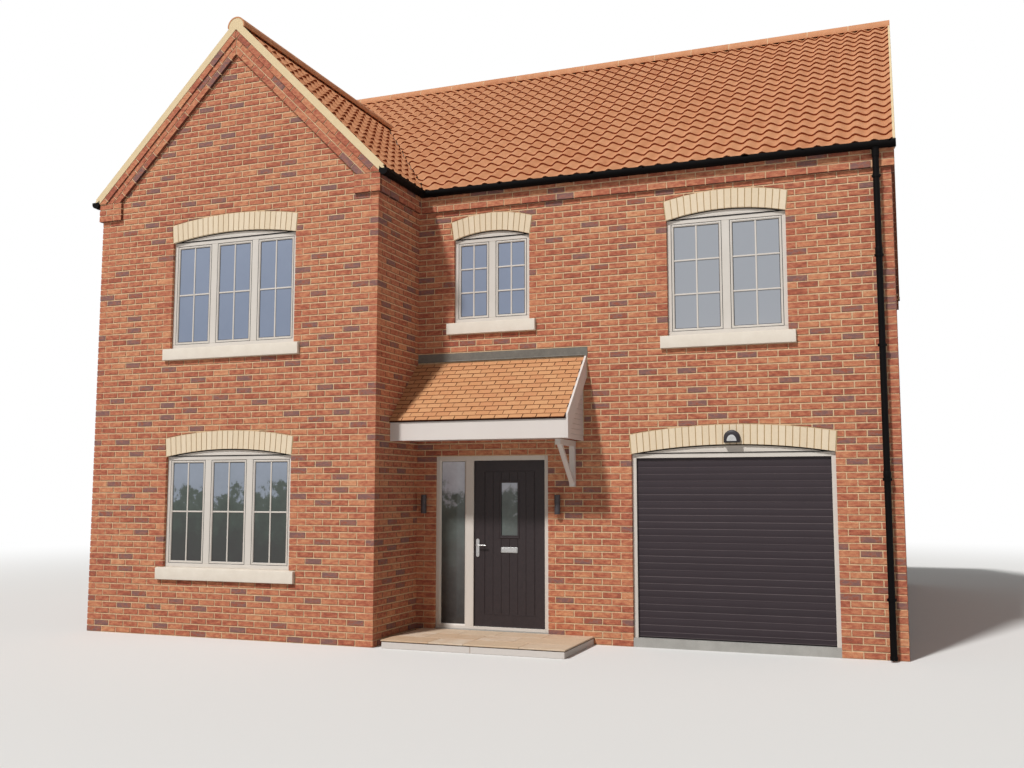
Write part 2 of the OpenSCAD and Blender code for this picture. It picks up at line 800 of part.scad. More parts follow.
// One spindle joins the levers on both faces
module lever_handle() {
    front = leaf_y - lever_out;
    back = leaf_back + lever_out;
    color("silver") placed() translate([spindle_x, 0, lever_z]) {
        translate([0, front, 0]) rotate([-90, 0, 0]) cylinder(r = spindle_r, h = back - front);
        for (y = [front, back]) translate([0, y, 0]) {
            sphere(r = lever_r);
            rotate([0, 90, 0]) cylinder(r = lever_r, h = lever_len - lever_r);
            translate([lever_len - lever_r, 0, 0]) sphere(r = lever_r);
        }
    }
}
module letter_plate() {
    color("silver") placed() difference() {
        block([leaf_mid - letter_w / 2, leaf_y - plate_t, letter_z - letter_h / 2],
            [leaf_mid + letter_w / 2, leaf_y, letter_z + letter_h / 2]);
        block([leaf_mid - letter_w / 2 + letter_rim, leaf_y - plate_t - cut,
                letter_z - letter_h / 2 + letter_rim],
            [leaf_mid + letter_w / 2 - letter_rim, leaf_y - plate_t + flap_t + flap_gap,
                letter_z + letter_h / 2 - letter_rim]);
        block([leaf_mid - slot_w / 2, leaf_y - plate_t, letter_z - slot_h / 2],
            [leaf_mid + slot_w / 2, leaf_y + cut, letter_z + slot_h / 2]);
        flap_pin(flap_pin_r + pin_gap, pin_gap);
    }
}
// The flap turns on a pin along its top edge, whose ends sit in the plate's rim
module flap_pin(r, extra) {
    length = letter_w - 2 * letter_rim + 2 * flap_pin_in + 2 * extra;
    translate([leaf_mid - length / 2, flap_pin_y, flap_pin_z]) rotate([0, 90, 0])
        cylinder(r = r, h = length);
}
module letter_flap() {
    inset = letter_rim + flap_gap;
    color("silver") placed() {
        block([leaf_mid - letter_w / 2 + inset, leaf_y - plate_t, letter_z - letter_h / 2 + inset],
            [leaf_mid + letter_w / 2 - inset, leaf_y - plate_t + flap_t, flap_pin_z]);
        flap_pin(flap_pin_r, 0);
    }
}
// Three-knuckle hinges on the inside: the frame's half holds the pin, the leaf's half turns on it
module frame_hinges() {
    k = hinge_h / 3;
    back = recess + frame_t;
    color("silver") placed() for (z = hinge_zs) translate([hinge_x, hinge_y, z]) {
        cylinder(r = pin_r, h = hinge_h);
        for (low = [0, 2 * k]) translate([0, 0, low]) {
            cylinder(r = knuckle_r, h = k);
            block([0, back - hinge_y, 0], [hinge_plate_x, back - hinge_y + hinge_t, k]);
        }
        block([hinge_plate_x, back - hinge_y, 0], [hinge_w, back - hinge_y + hinge_t, hinge_h]);
    }
}
module leaf_hinges() {
    k = hinge_h / 3;
    y = leaf_back - hinge_y;
    color("silver") placed() for (z = hinge_zs) translate([hinge_x, hinge_y, z]) {
        difference() {
            union() {
                translate([0, 0, k + knuckle_gap]) cylinder(r = knuckle_r, h = k - 2 * knuckle_gap);
                block([-hinge_plate_x, y, k + knuckle_gap], [0, y + hinge_t, 2 * k - knuckle_gap]);
            }
            cylinder(r = pin_r + pin_gap, h = hinge_h);
        }
        block([-hinge_w, y, 0], [-hinge_plate_x, y + hinge_t, hinge_h]);
    }
}

// Garage
module garage_frame() {
    right = garage_x + garage_w;
    back = recess + garage_face + garage_back;
    slot_front = recess + garage_face - curtain_t - slat_bulge;
    color("antiquewhite") placed() difference() {
        block([garage_x, recess, floor_z], [right, back, ground_head_z]);
        block([garage_x + garage_face, recess - cut, floor_z - cut],
            [right - garage_face, back + cut, ground_head_z - garage_face]);
        block([garage_x + garage_face - guide_in, slot_front - guide_gap, floor_z - cut],
            [right - garage_face + guide_in, recess + garage_face + guide_gap,
                ground_head_z - garage_face + guide_in]);
    }
}
module slat(z) {
    r = (slat_h * slat_h / 4 + slat_bulge * slat_bulge) / (2 * slat_bulge);
    translate([0, z]) intersection() {
        translate([r - slat_bulge, slat_h / 2]) circle(r = r, $fn = slat_fn);
        translate([-slat_bulge, 0]) square([slat_bulge + curtain_t / 2, slat_h]);
    }
}
module garage_shutter() {
    edge = garage_face - guide_in + guide_gap;
    top = ground_head_z - edge;
    y = recess + garage_face - curtain_t;
    color("darkslategray") placed() translate([0, y, 0])
        along_x(garage_x + edge, garage_w - 2 * edge) intersection() {
            union() {
                translate([0, floor_z]) square([curtain_t, top - floor_z]);
                for (z = [floor_z : slat_h : top]) slat(z);
            }
            translate([-slat_bulge, floor_z]) square([slat_bulge + curtain_t, top - floor_z]);
        }
}

// Doorstep
module door_step() {
    color("gainsboro") placed()
        block([step_x, -step_d, 0], [step_x + step_w, 0, kerb_h]);
}
module step_flags() {
    color("tan") placed()
        block([step_x - flag_out, -step_d - flag_out, kerb_h],
            [step_x + step_w + flag_out, 0, kerb_h + flag_t]);
}

// Canopy
module canopy_boards() {
    barge_x = canopy_right - board_t;
    cheek_x = barge_x - cheek_in;
    tiled_top = canopy_top + canopy_plumb;
    barge_y = barge_foot - canopy_out;
    color("whitesmoke") placed() {
        block([canopy_x, -canopy_out, canopy_z], [canopy_right, board_t - canopy_out, fascia_top]);
        block([canopy_x, board_t - canopy_out, canopy_z + board_t],
            [cheek_x, 0, canopy_z + 2 * board_t]);
        along_x(cheek_x, board_t) polygon([[board_t - canopy_out, canopy_z], [0, canopy_z],
            [0, canopy_top - canopy_plumb], [-canopy_out, fascia_top - canopy_plumb]]);
        along_x(barge_x, board_t) polygon([[-canopy_out, canopy_z], [barge_y, canopy_z],
            [barge_y, tiled_top + barge_y * canopy_tan - barge_h], [0, tiled_top - barge_h],
            [0, tiled_top], [-canopy_out, tiled_top - canopy_out * canopy_tan]]);
    }
}
module canopy_tiles() {
    low = fascia_top - canopy_drip * canopy_tan;
    color("sandybrown") placed() along_x(canopy_x, canopy_w - board_t)
        polygon([[-canopy_out - canopy_drip, low + canopy_plumb], [0, canopy_top + canopy_plumb],
            [0, canopy_top], [-canopy_out - canopy_drip, low]]);
}
module canopy_flashing() {
    low = canopy_top + canopy_plumb;
    color("dimgray") placed()
        block([canopy_x, -flashing_t, low], [canopy_right + flashing_past, 0, low + flashing_h]);
}
module canopy_bracket() {
    x = canopy_right - bracket_in - bracket_t;
    low = canopy_z - bracket_h;
    t = bracket_t;
    color("whitesmoke") placed() along_x(x, t) {
        translate([-t, low]) square([t, bracket_h]);
        translate([-bracket_out, canopy_z - t]) square([bracket_out, t]);
        polygon([[-t / 2, low], [0, low], [-bracket_out + t, canopy_z], [-bracket_out, canopy_z]]);
    }
}

// Roof slopes
// Past the eaves bands only the tiles run on, down to the middle of the gutters
module roof_section(depth) {
    difference() {
        children(0);
        children(1);
        for (x = [-roof_margin - corbel_out, depth + corbel_out]) intersection() {
            translate([x, 0]) square([roof_margin, sky_z]);
            children(2);
        }
    }
}
module main_roof_section() {
    roof_section(house_d) {
        main_roof_outline(0);
        main_roof_outline(roof_plumb);
        main_roof_outline(tile_plumb);
    }
}
module gable_roof_section() {
    roof_section(gable_w) {
        gable_roof_outline(0);
        gable_roof_outline(roof_plumb);
        gable_roof_outline(tile_plumb);
    }
}
module main_roof_shell() {
    difference() {
        along_x(-verge_out + verge_mortar_t, house_w + 2 * (verge_out - verge_mortar_t))
            main_roof_section();
        valley_prism();
    }
}
module valley_prism() {
    reach = gable_mid + roof_margin;
    linear_extrude(sky_z)
        polygon([[gable_mid, ridge_meet_y], [gable_mid - reach, valley_y(reach)],
            [gable_mid + reach, valley_y(reach)]]);
}
module main_roof_front() {
    color("chocolate") placed() intersection() {
        main_roof_shell();
        block([-roof_margin, -eaves_out, 0], [house_w + roof_margin, house_d / 2, sky_z]);
    }
}
module main_roof_rear() {
    color("chocolate") placed() intersection() {
        main_roof_shell();
        block([-roof_margin, house_d / 2, 0],
            [house_w + roof_margin, house_d + eaves_out, sky_z]);
    }
}
module gable_slope(side) {
    front = -gable_out - verge_out + verge_mortar_t;
    reach = gable_mid + eaves_out;
    intersection() {
        along_y(front, ridge_meet_y - front) gable_roof_section();
        linear_extrude(sky_z) polygon([[gable_mid, front], [gable_mid + side * reach, front],
            [gable_mid + side * reach, valley_y(reach) - valley_gap],
            [gable_mid, ridge_meet_y - valley_gap]]);
    }
}
module gable_roof_left() {
    color("chocolate") placed() gable_slope(-1);
}
module gable_roof_right() {
    color("chocolate") placed() gable_slope(1);
}
module ridge_tiles() {
    front = -gable_out - verge_out;
    color("chocolate") placed() difference() {
        union() {
            along_x(-verge_out, house_w + 2 * verge_out)
                translate([house_d / 2, main_ridge_z + ridge_rise - ridge_r]) circle(r = ridge_r);
            along_y(front, ridge_meet_y + roof_margin - front)
                translate([gable_mid, gable_ridge_z + ridge_rise - ridge_r]) circle(r = ridge_r);
        }
        under_main_roof(0);
        under_gable_roof(0);
    }
}
module verge_mortar() {
    t = verge_mortar_t;
    color("cornsilk") placed() {
        along_y(-gable_out - verge_out, t) intersection() {
            gable_roof_section();
            translate([-eaves_out, 0]) square([gable_w + 2 * eaves_out, sky_z]);
        }
        for (x = [-verge_out, house_w + verge_out - t]) difference() {
            along_x(x, t) intersection() {
                main_roof_section();
                translate([-eaves_out, 0]) square([house_d + 2 * eaves_out, sky_z]);
            }
            valley_prism();
        }
    }
}

// Rainwater goods
// A gutter has a round bottom and upright walls, and its rim is at the section's origin
module gutter_trough(r, past_rim) {
    translate([0, -gutter_wall]) {
        intersection() {
            circle(r = r);
            translate([-r, -r]) square([2 * r, r]);
        }
        translate([-r, 0]) square([2 * r, gutter_wall + past_rim]);
    }
}
module gutter_section(closed = false) {
    difference() {
        gutter_trough(gutter_r, 0);
        if (!closed) gutter_trough(gutter_r - plastic_t, cut);
    }
}
module gutter_along_x(start, end, y) {
    translate([0, y, gutter_z]) {
        along_x(start, end - start) gutter_section();
        along_x(end - plastic_t, plastic_t) gutter_section(true);
    }
}
module gutter_along_y(start, end, x) {
    translate([x, 0, gutter_z]) {
        along_y(start, end - start) gutter_section();
        along_y(start, plastic_t) gutter_section(true);
    }
}
module at_downpipes() {
    translate([house_w - pipe_in, 0, 0]) children();
    on_rear() translate([pipe_in, 0, 0]) children();
    translate([0, -pipe_in, 0]) rotate([0, 0, -90]) children();
}
// The front gutter and the one on the gable block's right side meet at a mitre
module gutters() {
    past = verge_out + plastic_t + end_gap;
    front_end = -gable_out - past;
    left_x = -corbel_out - gutter_r;
    left_end = valley_y(gable_mid + verge_out) - end_gap;
    right_end = house_w + past;
    reach = 2 * gutter_r;
    color("black") placed() {
        intersection() {
            gutter_along_x(gutter_x - reach, right_end, gutter_y);
            linear_extrude(sky_z)
                polygon([[gutter_x - reach, gutter_y + reach], [gutter_x + reach, gutter_y - reach],
                    [right_end + cut, gutter_y - reach], [right_end + cut, gutter_y + reach]]);
        }
        intersection() {
            gutter_along_y(front_end, gutter_y + reach, gutter_x);
            linear_extrude(sky_z) translate([-joint_gap, 0])
                polygon([[gutter_x - reach, gutter_y + reach], [gutter_x + reach, gutter_y - reach],
                    [gutter_x + reach, front_end], [gutter_x - reach, front_end]]);
        }
        gutter_along_y(front_end, left_end, left_x);
        translate([left_x, 0, gutter_z]) along_y(left_end - plastic_t, plastic_t) gutter_section(true);
        gutter_along_x(-past, right_end, house_d - gutter_y);
        translate([0, house_d - gutter_y, gutter_z])
            along_x(-past, plastic_t) gutter_section(true);
    }
}
module pipe_clip(z) {
    translate([0, 0, z]) difference() {
        union() {
            cylinder(r = pipe_r + clip_t, h = clip_h);
            block([-clip_arm_w / 2, 0, 0], [clip_arm_w / 2, -gutter_y, clip_h]);
        }
        translate([0, 0, -cut]) cylinder(r = pipe_r + clip_gap, h = clip_h + 2 * cut);
    }
}
module downpipe() {
    translate([0, gutter_y, 0]) {
        difference() {
            translate([0, 0, pipe_foot_z]) cylinder(r = pipe_r, h = gutter_z - pipe_foot_z);
            translate([0, 0, pipe_foot_z - cut]) cylinder(r = pipe_r - plastic_t, h = gutter_z);
            along_x(-2 * pipe_r, 4 * pipe_r) translate([0, gutter_z - gutter_wall])
                circle(r = gutter_r + clip_gap);
            block([-2 * pipe_r, -2 * pipe_r, gutter_z - gutter_wall - gutter_r / 2],
                [2 * pipe_r, 2 * pipe_r, gutter_z + cut]);
        }
        for (z = clip_zs) pipe_clip(z);
    }
}
module downpipes() {
    color("black") placed() at_downpipes() downpipe();
}

// Lights
module wall_light(x) {
    translate([x, -light_r - light_wall_gap, light_z]) {
        translate([0, 0, -light_h / 2]) cylinder(r = light_r, h = light_h);
        block([-light_arm_w / 2, 0, -light_arm_h / 2],
            [light_arm_w / 2, light_r + light_wall_gap, light_arm_h / 2]);
    }
}
module half_moon_light() {
    x = garage_x + garage_w / 2 + bulkhead_right;
    translate([x, 0, ground_head_z + garage_rise + bulkhead_up]) {
        block([-bulkhead_r, -bulkhead_d, 0], [bulkhead_r, 0, bulkhead_base]);
        translate([0, 0, bulkhead_base]) intersection() {
            rotate([90, 0, 0]) cylinder(r = bulkhead_r, h = bulkhead_d);
            block([-bulkhead_r, -bulkhead_d, 0], [bulkhead_r, 0, bulkhead_r]);
        }
    }
}
module outside_lights() {
    color("dimgray") placed() {
        wall_light(door_x - light_off);
        wall_light(door_right + light_off);
        half_moon_light();
    }
}

ground_floor();
first_floor();
gable_front_wall();
gable_side_wall();
left_wall();
right_wall();
rear_wall();
front_wall_piers();
front_wall_upper();
eaves_bands();
kneelers();
raking_bands();
brick_arches();
window_sills();
window_frames();
window_sashes();
window_glass();
arch_panels();
door_frame();
door_leaf();
door_glass_frame();
door_glass();
handle_plates();
lever_handle();
letter_plate();
letter_flap();
frame_hinges();
leaf_hinges();
garage_frame();
garage_shutter();
door_step();
step_flags();
canopy_boards();
canopy_tiles();
canopy_flashing();
canopy_bracket();
main_roof_front();
main_roof_rear();
gable_roof_left();
gable_roof_right();
ridge_tiles();
verge_mortar();
gutters();
downpipes();
outside_lights();
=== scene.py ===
import math
import random

import bmesh
import bpy
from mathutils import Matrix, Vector


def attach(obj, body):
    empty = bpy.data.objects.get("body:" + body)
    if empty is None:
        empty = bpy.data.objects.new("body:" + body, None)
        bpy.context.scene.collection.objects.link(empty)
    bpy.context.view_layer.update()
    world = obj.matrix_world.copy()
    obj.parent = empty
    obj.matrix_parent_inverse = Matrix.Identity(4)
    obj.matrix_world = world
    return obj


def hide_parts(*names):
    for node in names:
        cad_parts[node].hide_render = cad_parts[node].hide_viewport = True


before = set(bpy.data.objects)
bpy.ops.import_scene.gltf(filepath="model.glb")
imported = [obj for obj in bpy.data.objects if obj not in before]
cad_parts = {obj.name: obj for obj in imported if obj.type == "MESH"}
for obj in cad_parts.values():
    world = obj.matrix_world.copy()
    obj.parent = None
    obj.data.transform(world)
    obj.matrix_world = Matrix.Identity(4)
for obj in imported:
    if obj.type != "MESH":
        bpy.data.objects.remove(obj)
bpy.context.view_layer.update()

print("house: frame loaded")

# Everything below is drawn from the main block's front left corner, in metres, and moved to
# the middle of that block. The gable block stands in front of it on the left. Roof heights are
# those of the tiles' surface in the solids, at the walls' faces and at the ridges.
house = dict(wide=9.675, deep=9.55, gableWide=4.04, forward=1.105, eavesZ=5.58, gableRidgeZ=7.64,
             pitch=35, gablePitch=45, roofDepth=0.1)
wide, deep, gableWide, forward = (house[key] for key in ("wide", "deep", "gableWide", "forward"))
middleX, middleY, gableX = wide / 2, deep / 2, gableWide / 2
mainTan, mainCos = (f(math.radians(house["pitch"])) for f in (math.tan, math.cos))
gableCos = math.cos(math.radians(house["gablePitch"]))
mainRidgeZ = house["eavesZ"] + middleY * mainTan


def srgb(red, green, blue):
    values = []
    for value in (red, green, blue):
        value /= 255
        values.append(value / 12.92 if value <= 0.04045 else ((value + 0.055) / 1.055) ** 2.4)
    return (*values, 1.0)


# Finishes. Each has colour stops over noise (or over the pieces' own tones), the noise's
# scale per metre, a bump with its depth in metres, and a roughness range.
finishes = dict(
    redBrick=dict(tones=[(0.0, (216, 154, 112)), (0.2, (202, 132, 94)), (0.42, (186, 110, 80)),
                         (0.62, (166, 88, 64)), (0.76, (148, 80, 60)), (0.86, (156, 104, 88)),
                         (1.0, (132, 93, 87))],
                  spread=1.5, scale=15, stretch=(1, 1, 2.2), bumpScale=170, bumpDepth=0.0014,
                  grain=(0.74, 1.06), rough=(0.78, 0.95)),
    # brick sides: painted shade round each brick, widest on the lower arris
    brickEdge=dict(tones=[(0.0, (140, 86, 58)), (0.45, (116, 62, 42)), (0.8, (92, 48, 36)),
                          (1.0, (78, 50, 44))],
                   spread=0.8, scale=30, bumpScale=300, bumpDepth=0.001, rough=(0.85, 0.96)),
    wallMortar=dict(stops=[(0.3, (206, 168, 128)), (0.7, (236, 204, 164))],
                    scale=30, bumpScale=320, bumpDepth=0.0014, rough=(0.88, 0.98)),
    buffBrick=dict(tones=[(0.0, (224, 203, 172)), (0.5, (230, 210, 180)), (1.0, (235, 217, 190))],
                   spread=0.9, scale=24, bumpScale=240, bumpDepth=0.0007, grain=(0.9, 1.02),
                   rough=(0.75, 0.92)),
    buffMortar=dict(stops=[(0.3, (176, 146, 104)), (0.7, (196, 166, 124))],
                    scale=34, bumpScale=420, bumpDepth=0.0012, rough=(0.88, 0.98)),
    castStone=dict(stops=[(0.25, (218, 206, 190)), (0.55, (225, 214, 199)), (0.8, (231, 221, 207))],
                   scale=6, bumpScale=500, bumpDepth=0.0004, grain=(0.93, 1.01), rough=(0.7, 0.88)),
    framePaint=dict(stops=[(0.3, (209, 201, 191)), (0.7, (215, 207, 198))],
                    scale=3, bumpScale=120, bumpDepth=0.0001, grain=(0.98, 1.005),
                    rough=(0.34, 0.48)),
    # black rubber; also painted shade where the gaskets are widened and behind the arch panels
    gasket=dict(stops=[(0.3, (22, 20, 19)), (0.7, (34, 31, 29))],
                scale=60, bumpScale=400, bumpDepth=0.0002, rough=(0.6, 0.8), specular=0.2),
    doorSkin=dict(stops=[(0.25, (44, 36, 37)), (0.6, (52, 43, 44)), (0.85, (60, 51, 52))],
                  scale=6, stretch=(60, 60, 2.2), bumpScale=30, bumpDepth=0.0005,
                  rough=(0.4, 0.55), specular=0.3),
    satinSteel=dict(stops=[(0.3, (186, 184, 182)), (0.7, (212, 210, 208))],
                    scale=30, stretch=(1, 1, 18), bumpScale=300, bumpDepth=0.0001,
                    rough=(0.24, 0.38), metallic=1.0),
    # the light end of the tones is the slats' lips' painted highlight
    shutterPaint=dict(tones=[(0.0, (46, 38, 42)), (0.5, (56, 47, 51)), (0.8, (76, 66, 69)),
                             (1.0, (96, 86, 88))],
                      spread=0.2, scale=4, bumpScale=500, bumpDepth=0.0002, grain=(0.95, 1.01),
                      rough=(0.42, 0.56), specular=0.25),
    kerbStone=dict(tones=[(0.0, (206, 196, 188)), (0.5, (213, 204, 197)), (1.0, (219, 211, 204))],
                   spread=0.8, scale=16, bumpScale=320, bumpDepth=0.001, rough=(0.78, 0.92)),
    stoneJoint=dict(stops=[(0.3, (150, 126, 108)), (0.7, (172, 148, 128))],
                    scale=30, bumpScale=300, bumpDepth=0.001, rough=(0.85, 0.97)),
    sandstone=dict(tones=[(0.0, (207, 180, 150)), (0.4, (213, 190, 164)), (0.75, (200, 168, 136)),
                          (1.0, (219, 199, 176))],
                   spread=0.7, scale=6, bumpScale=110, bumpDepth=0.0018, rough=(0.74, 0.9)),
    whitePaint=dict(stops=[(0.3, (217, 207, 200)), (0.7, (221, 212, 205))],
                    scale=2, bumpScale=90, bumpDepth=0.0001, grain=(0.985, 1.005),
                    rough=(0.42, 0.56)),
    plainTile=dict(tones=[(0.0, (199, 138, 93)), (0.4, (203, 146, 99)), (0.75, (208, 153, 106)),
                          (1.0, (200, 140, 93))],
                   spread=0.7, scale=20, bumpScale=260, bumpDepth=0.0008, grain=(0.88, 1.03),
                   rough=(0.72, 0.9)),
    lead=dict(stops=[(0.25, (106, 102, 94)), (0.6, (116, 111, 103)), (0.85, (126, 121, 113))],
              scale=8, bumpScale=26, bumpDepth=0.0008, rough=(0.5, 0.66), metallic=0.1,
              specular=0.3),
    clayTile=dict(tones=[(0.0, (204, 142, 99)), (0.3, (199, 137, 94)), (0.6, (192, 128, 85)),
                         (0.85, (181, 114, 74)), (1.0, (169, 101, 65))],
                  spread=1.1, scale=9, bumpScale=230, bumpDepth=0.0008, grain=(0.9, 1.03),
                  rough=(0.66, 0.86)),
    # pantiles' lower edges and sides: painted shade
    tileEdge=dict(stops=[(0.3, (138, 66, 34)), (0.7, (156, 80, 44))],
                  scale=20, bumpScale=230, bumpDepth=0.0008, rough=(0.85, 0.96), specular=0.2),
    # plain tiles' sides: painted shade in the gaps between them
    tileJoint=dict(stops=[(0.3, (104, 54, 30)), (0.7, (126, 70, 42))],
                   scale=20, bumpScale=230, bumpDepth=0.0008, rough=(0.85, 0.96), specular=0.2),
    roofMortar=dict(stops=[(0.3, (222, 198, 156)), (0.7, (229, 206, 166))],
                    scale=12, bumpScale=300, bumpDepth=0.0005, grain=(0.93, 1.02),
                    rough=(0.85, 0.97)),
    blackPlastic=dict(stops=[(0.3, (9, 7, 7)), (0.7, (15, 12, 12))],
                      scale=5, bumpScale=500, bumpDepth=0.0001, rough=(0.46, 0.6), specular=0.07),
    lightPaint=dict(stops=[(0.3, (72, 67, 69)), (0.7, (86, 80, 82))],
                    scale=12, bumpScale=700, bumpDepth=0.0002, rough=(0.42, 0.56), specular=0.3),
    hoodPaint=dict(stops=[(0.3, (38, 35, 38)), (0.7, (50, 46, 50))],
                   scale=12, bumpScale=700, bumpDepth=0.0002, rough=(0.4, 0.54), specular=0.3),
    lightLens=dict(stops=[(0.3, (186, 186, 184)), (0.7, (206, 206, 204))],
                   scale=20, bumpScale=200, bumpDepth=0.0003, rough=(0.2, 0.34)),
    # dark felt under the tiles; also painted shade on the ridge bedding and under the flags
    underlay=dict(stops=[(0.3, (52, 28, 20)), (0.7, (70, 40, 28))],
                  scale=14, bumpScale=90, bumpDepth=0.002, rough=(0.88, 0.98), specular=0.1),
    concrete=dict(stops=[(0.25, (158, 155, 149)), (0.55, (174, 171, 165)), (0.8, (188, 185, 179))],
                  scale=5, bumpScale=160, bumpDepth=0.0015, rough=(0.8, 0.94)),
    floorTimber=dict(stops=[(0.25, (168, 130, 88)), (0.6, (188, 150, 106)),
                            (0.85, (204, 168, 124))],
                     scale=9, stretch=(1, 14, 1), bumpScale=50, bumpDepth=0.0008,
                     rough=(0.6, 0.8)),
)

# What all finishes share: the noise's detail and roughness, the speckle's range that darkens
# the pits, the mottle's range that changes the roughness, and the bump's strength
surface = dict(mottle=(6, 0.62), speckle=(3, 0.7), pits=(0.3, 0.62), grain=(0.82, 1.04),
               dull=(0.3, 0.7), bump=0.9)


class Graph:
    # the nodes of a material or world; an input given as a socket is linked, any other is set
    def __init__(self, owner):
        owner.use_nodes = True
        self.nodes, self.links = owner.node_tree.nodes, owner.node_tree.links

    def fill(self, node, inputs):
        for key, value in inputs.items():
            if isinstance(value, bpy.types.NodeSocket):
                self.links.new(value, node.inputs[key])
            else:
                node.inputs[key].default_value = value
        return node

    def add(self, kind, inputs=None, **settings):
        node = self.nodes.new("ShaderNode" + kind)
        for key, value in settings.items():
            setattr(node, key, value)
        return self.fill(node, inputs or {})

    def place(self):
        return self.add("TexCoord").outputs["Object"]

    def noise(self, inputs):
        return self.add("TexNoise", inputs).outputs["Fac"]

    def span(self, source, limits, to=(0.0, 1.0), smooth=False):
        return self.add("MapRange", {"Value": source, "From Min": limits[0],
                                     "From Max": limits[1], "To Min": to[0], "To Max": to[1]},
                        interpolation_type="SMOOTHSTEP" if smooth else "LINEAR").outputs["Result"]

    def maths(self, operation, *values):
        return self.add("Math", dict(enumerate(values)), operation=operation).outputs[0]

    def mix(self, share, first, second, blend="MIX"):
        return self.add("Mix", {"Factor": share, "A": first, "B": second}, data_type="RGBA",
                        blend_type=blend).outputs["Result"]

    def ramp(self, source, stops, top=1.0):
        node = self.add("ValToRGB", {"Fac": source})
        elements = node.color_ramp.elements
        while len(elements) < len(stops):
            elements.new(0.5)
        for element, (position, colour) in zip(elements, stops):
            element.position = position / top
            element.color = srgb(*colour)
        return node.outputs["Color"]

    def bump(self, height, strength, depth):
        return self.add("Bump", {"Height": height, "Strength": strength,
                                 "Distance": depth}).outputs["Normal"]


def makeFinish(name, recipe):
    material = bpy.data.materials.new(name)
    graph = Graph(material)
    place = graph.place()
    where, scale = place, recipe["scale"]
    if "stretch" in recipe:
        longest = max(recipe["stretch"])
        scale *= longest
        where = graph.add("Mapping", {"Vector": place, "Scale": [
            value / longest for value in recipe["stretch"]]}).outputs["Vector"]
    detail, roughness = surface["mottle"]
    mottle = graph.noise({"Vector": where, "Scale": scale, "Detail": detail,
                          "Roughness": roughness})
    source = mottle
    if "tones" in recipe:  # each brick or tile has its own tone, and the noise shifts it
        tone = graph.add("Attribute", attribute_name="tone").outputs["Fac"]
        centre = graph.maths("SUBTRACT", tone, recipe["spread"] / 2)
        source = graph.maths("MULTIPLY_ADD", mottle, recipe["spread"], centre)
    colour = graph.ramp(source, recipe.get("tones") or recipe["stops"])
    detail, roughness = surface["speckle"]
    speckle = graph.noise({"Vector": place, "Scale": recipe["bumpScale"], "Detail": detail,
                           "Roughness": roughness})
    pits = graph.span(speckle, surface["pits"], recipe.get("grain", surface["grain"]))
    graph.fill(graph.nodes["Principled BSDF"], {
        "Base Color": graph.mix(1.0, colour, pits, "MULTIPLY"),
        "Metallic": recipe.get("metallic", 0.0),
        "Specular IOR Level": recipe.get("specular", 0.5),
        "Normal": graph.bump(speckle, surface["bump"], recipe["bumpDepth"]),
        "Roughness": graph.span(mottle, surface["dull"], recipe["rough"])})
    return material


finish = {name: makeFinish(name, recipe) for name, recipe in finishes.items()}

# Glass: painted reflections that change with the height above the ground, a dark room below and
# pale sky above. It is paler beside the front door, painted light against the canopy's shade, and
# upstairs on the front's right, a painted reflection. Each pair is where a change begins and ends.
glassLook = dict(
    window=[(0.15, (54, 53, 53)), (0.8, (62, 61, 60)), (1.2, (64, 66, 63)), (1.5, (70, 78, 72)),
            (1.7, (78, 86, 80)), (1.78, (136, 144, 156)), (2.3, (144, 152, 166)),
            (3.5, (126, 137, 158)), (5.0, (138, 148, 168))],
    entry=[(0.15, (60, 57, 56)), (0.9, (84, 84, 82)), (1.3, (92, 98, 94)),
           (1.62, (104, 114, 110)), (1.78, (196, 202, 214)), (2.3, (222, 228, 238)),
           (3.5, (222, 228, 238)), (4.2, (222, 228, 238)), (5.0, (222, 228, 238))],
    topZ=5.0, drift=1.3, leafScale=4.5, leafDetail=9, leafRoughness=0.66, front=(-2, -4),
    entrySide=(-1.2, -0.8), entryTop=(2.9, 2.5), paler=(158, 162, 169), palerSide=(1.4, 2.6),
    upstairs=(2.6, 3.2), ripple=2.5, bump=0.15, bumpDepth=0.002, roughness=0.05, specular=0.3)


def makeGlass(name, look):
    material = bpy.data.materials.new(name)
    graph = Graph(material)
    place = graph.place()
    x, y, z = graph.add("SeparateXYZ", {"Vector": place}).outputs
    # noise shifts where the height changes: a painted tree line in the reflection
    leaves = graph.noise({"Vector": place, "Scale": look["leafScale"],
                          "Detail": look["leafDetail"], "Roughness": look["leafRoughness"]})
    height = graph.maths("MULTIPLY_ADD", leaves, look["drift"], z)
    level = graph.span(height, (look["drift"] / 2, look["topZ"] + look["drift"] / 2))

    def passed(source, key):
        return graph.span(source, look[key], smooth=True)

    def both(first, second):
        return graph.maths("MULTIPLY", first, second)

    front = passed(y, "front")
    # the glass beside the door is brightened: painted light against the canopy's shade
    nearDoor = both(both(passed(x, "entrySide"), passed(z, "entryTop")), front)
    pale = both(both(passed(x, "palerSide"), passed(z, "upstairs")), front)
    tint = graph.mix(nearDoor, graph.ramp(level, look["window"], look["topZ"]),
                     graph.ramp(level, look["entry"], look["topZ"]))
    ripple = graph.noise({"Vector": place, "Scale": look["ripple"]})
    graph.fill(graph.nodes["Principled BSDF"], {
        "Base Color": graph.mix(pale, tint, srgb(*look["paler"])),
        "Roughness": look["roughness"], "Specular IOR Level": look["specular"],
        "Normal": graph.bump(ripple, look["bump"], look["bumpDepth"])})
    return material


finish["glass"] = makeGlass("glass", glassLook)
print("house: finishes made")


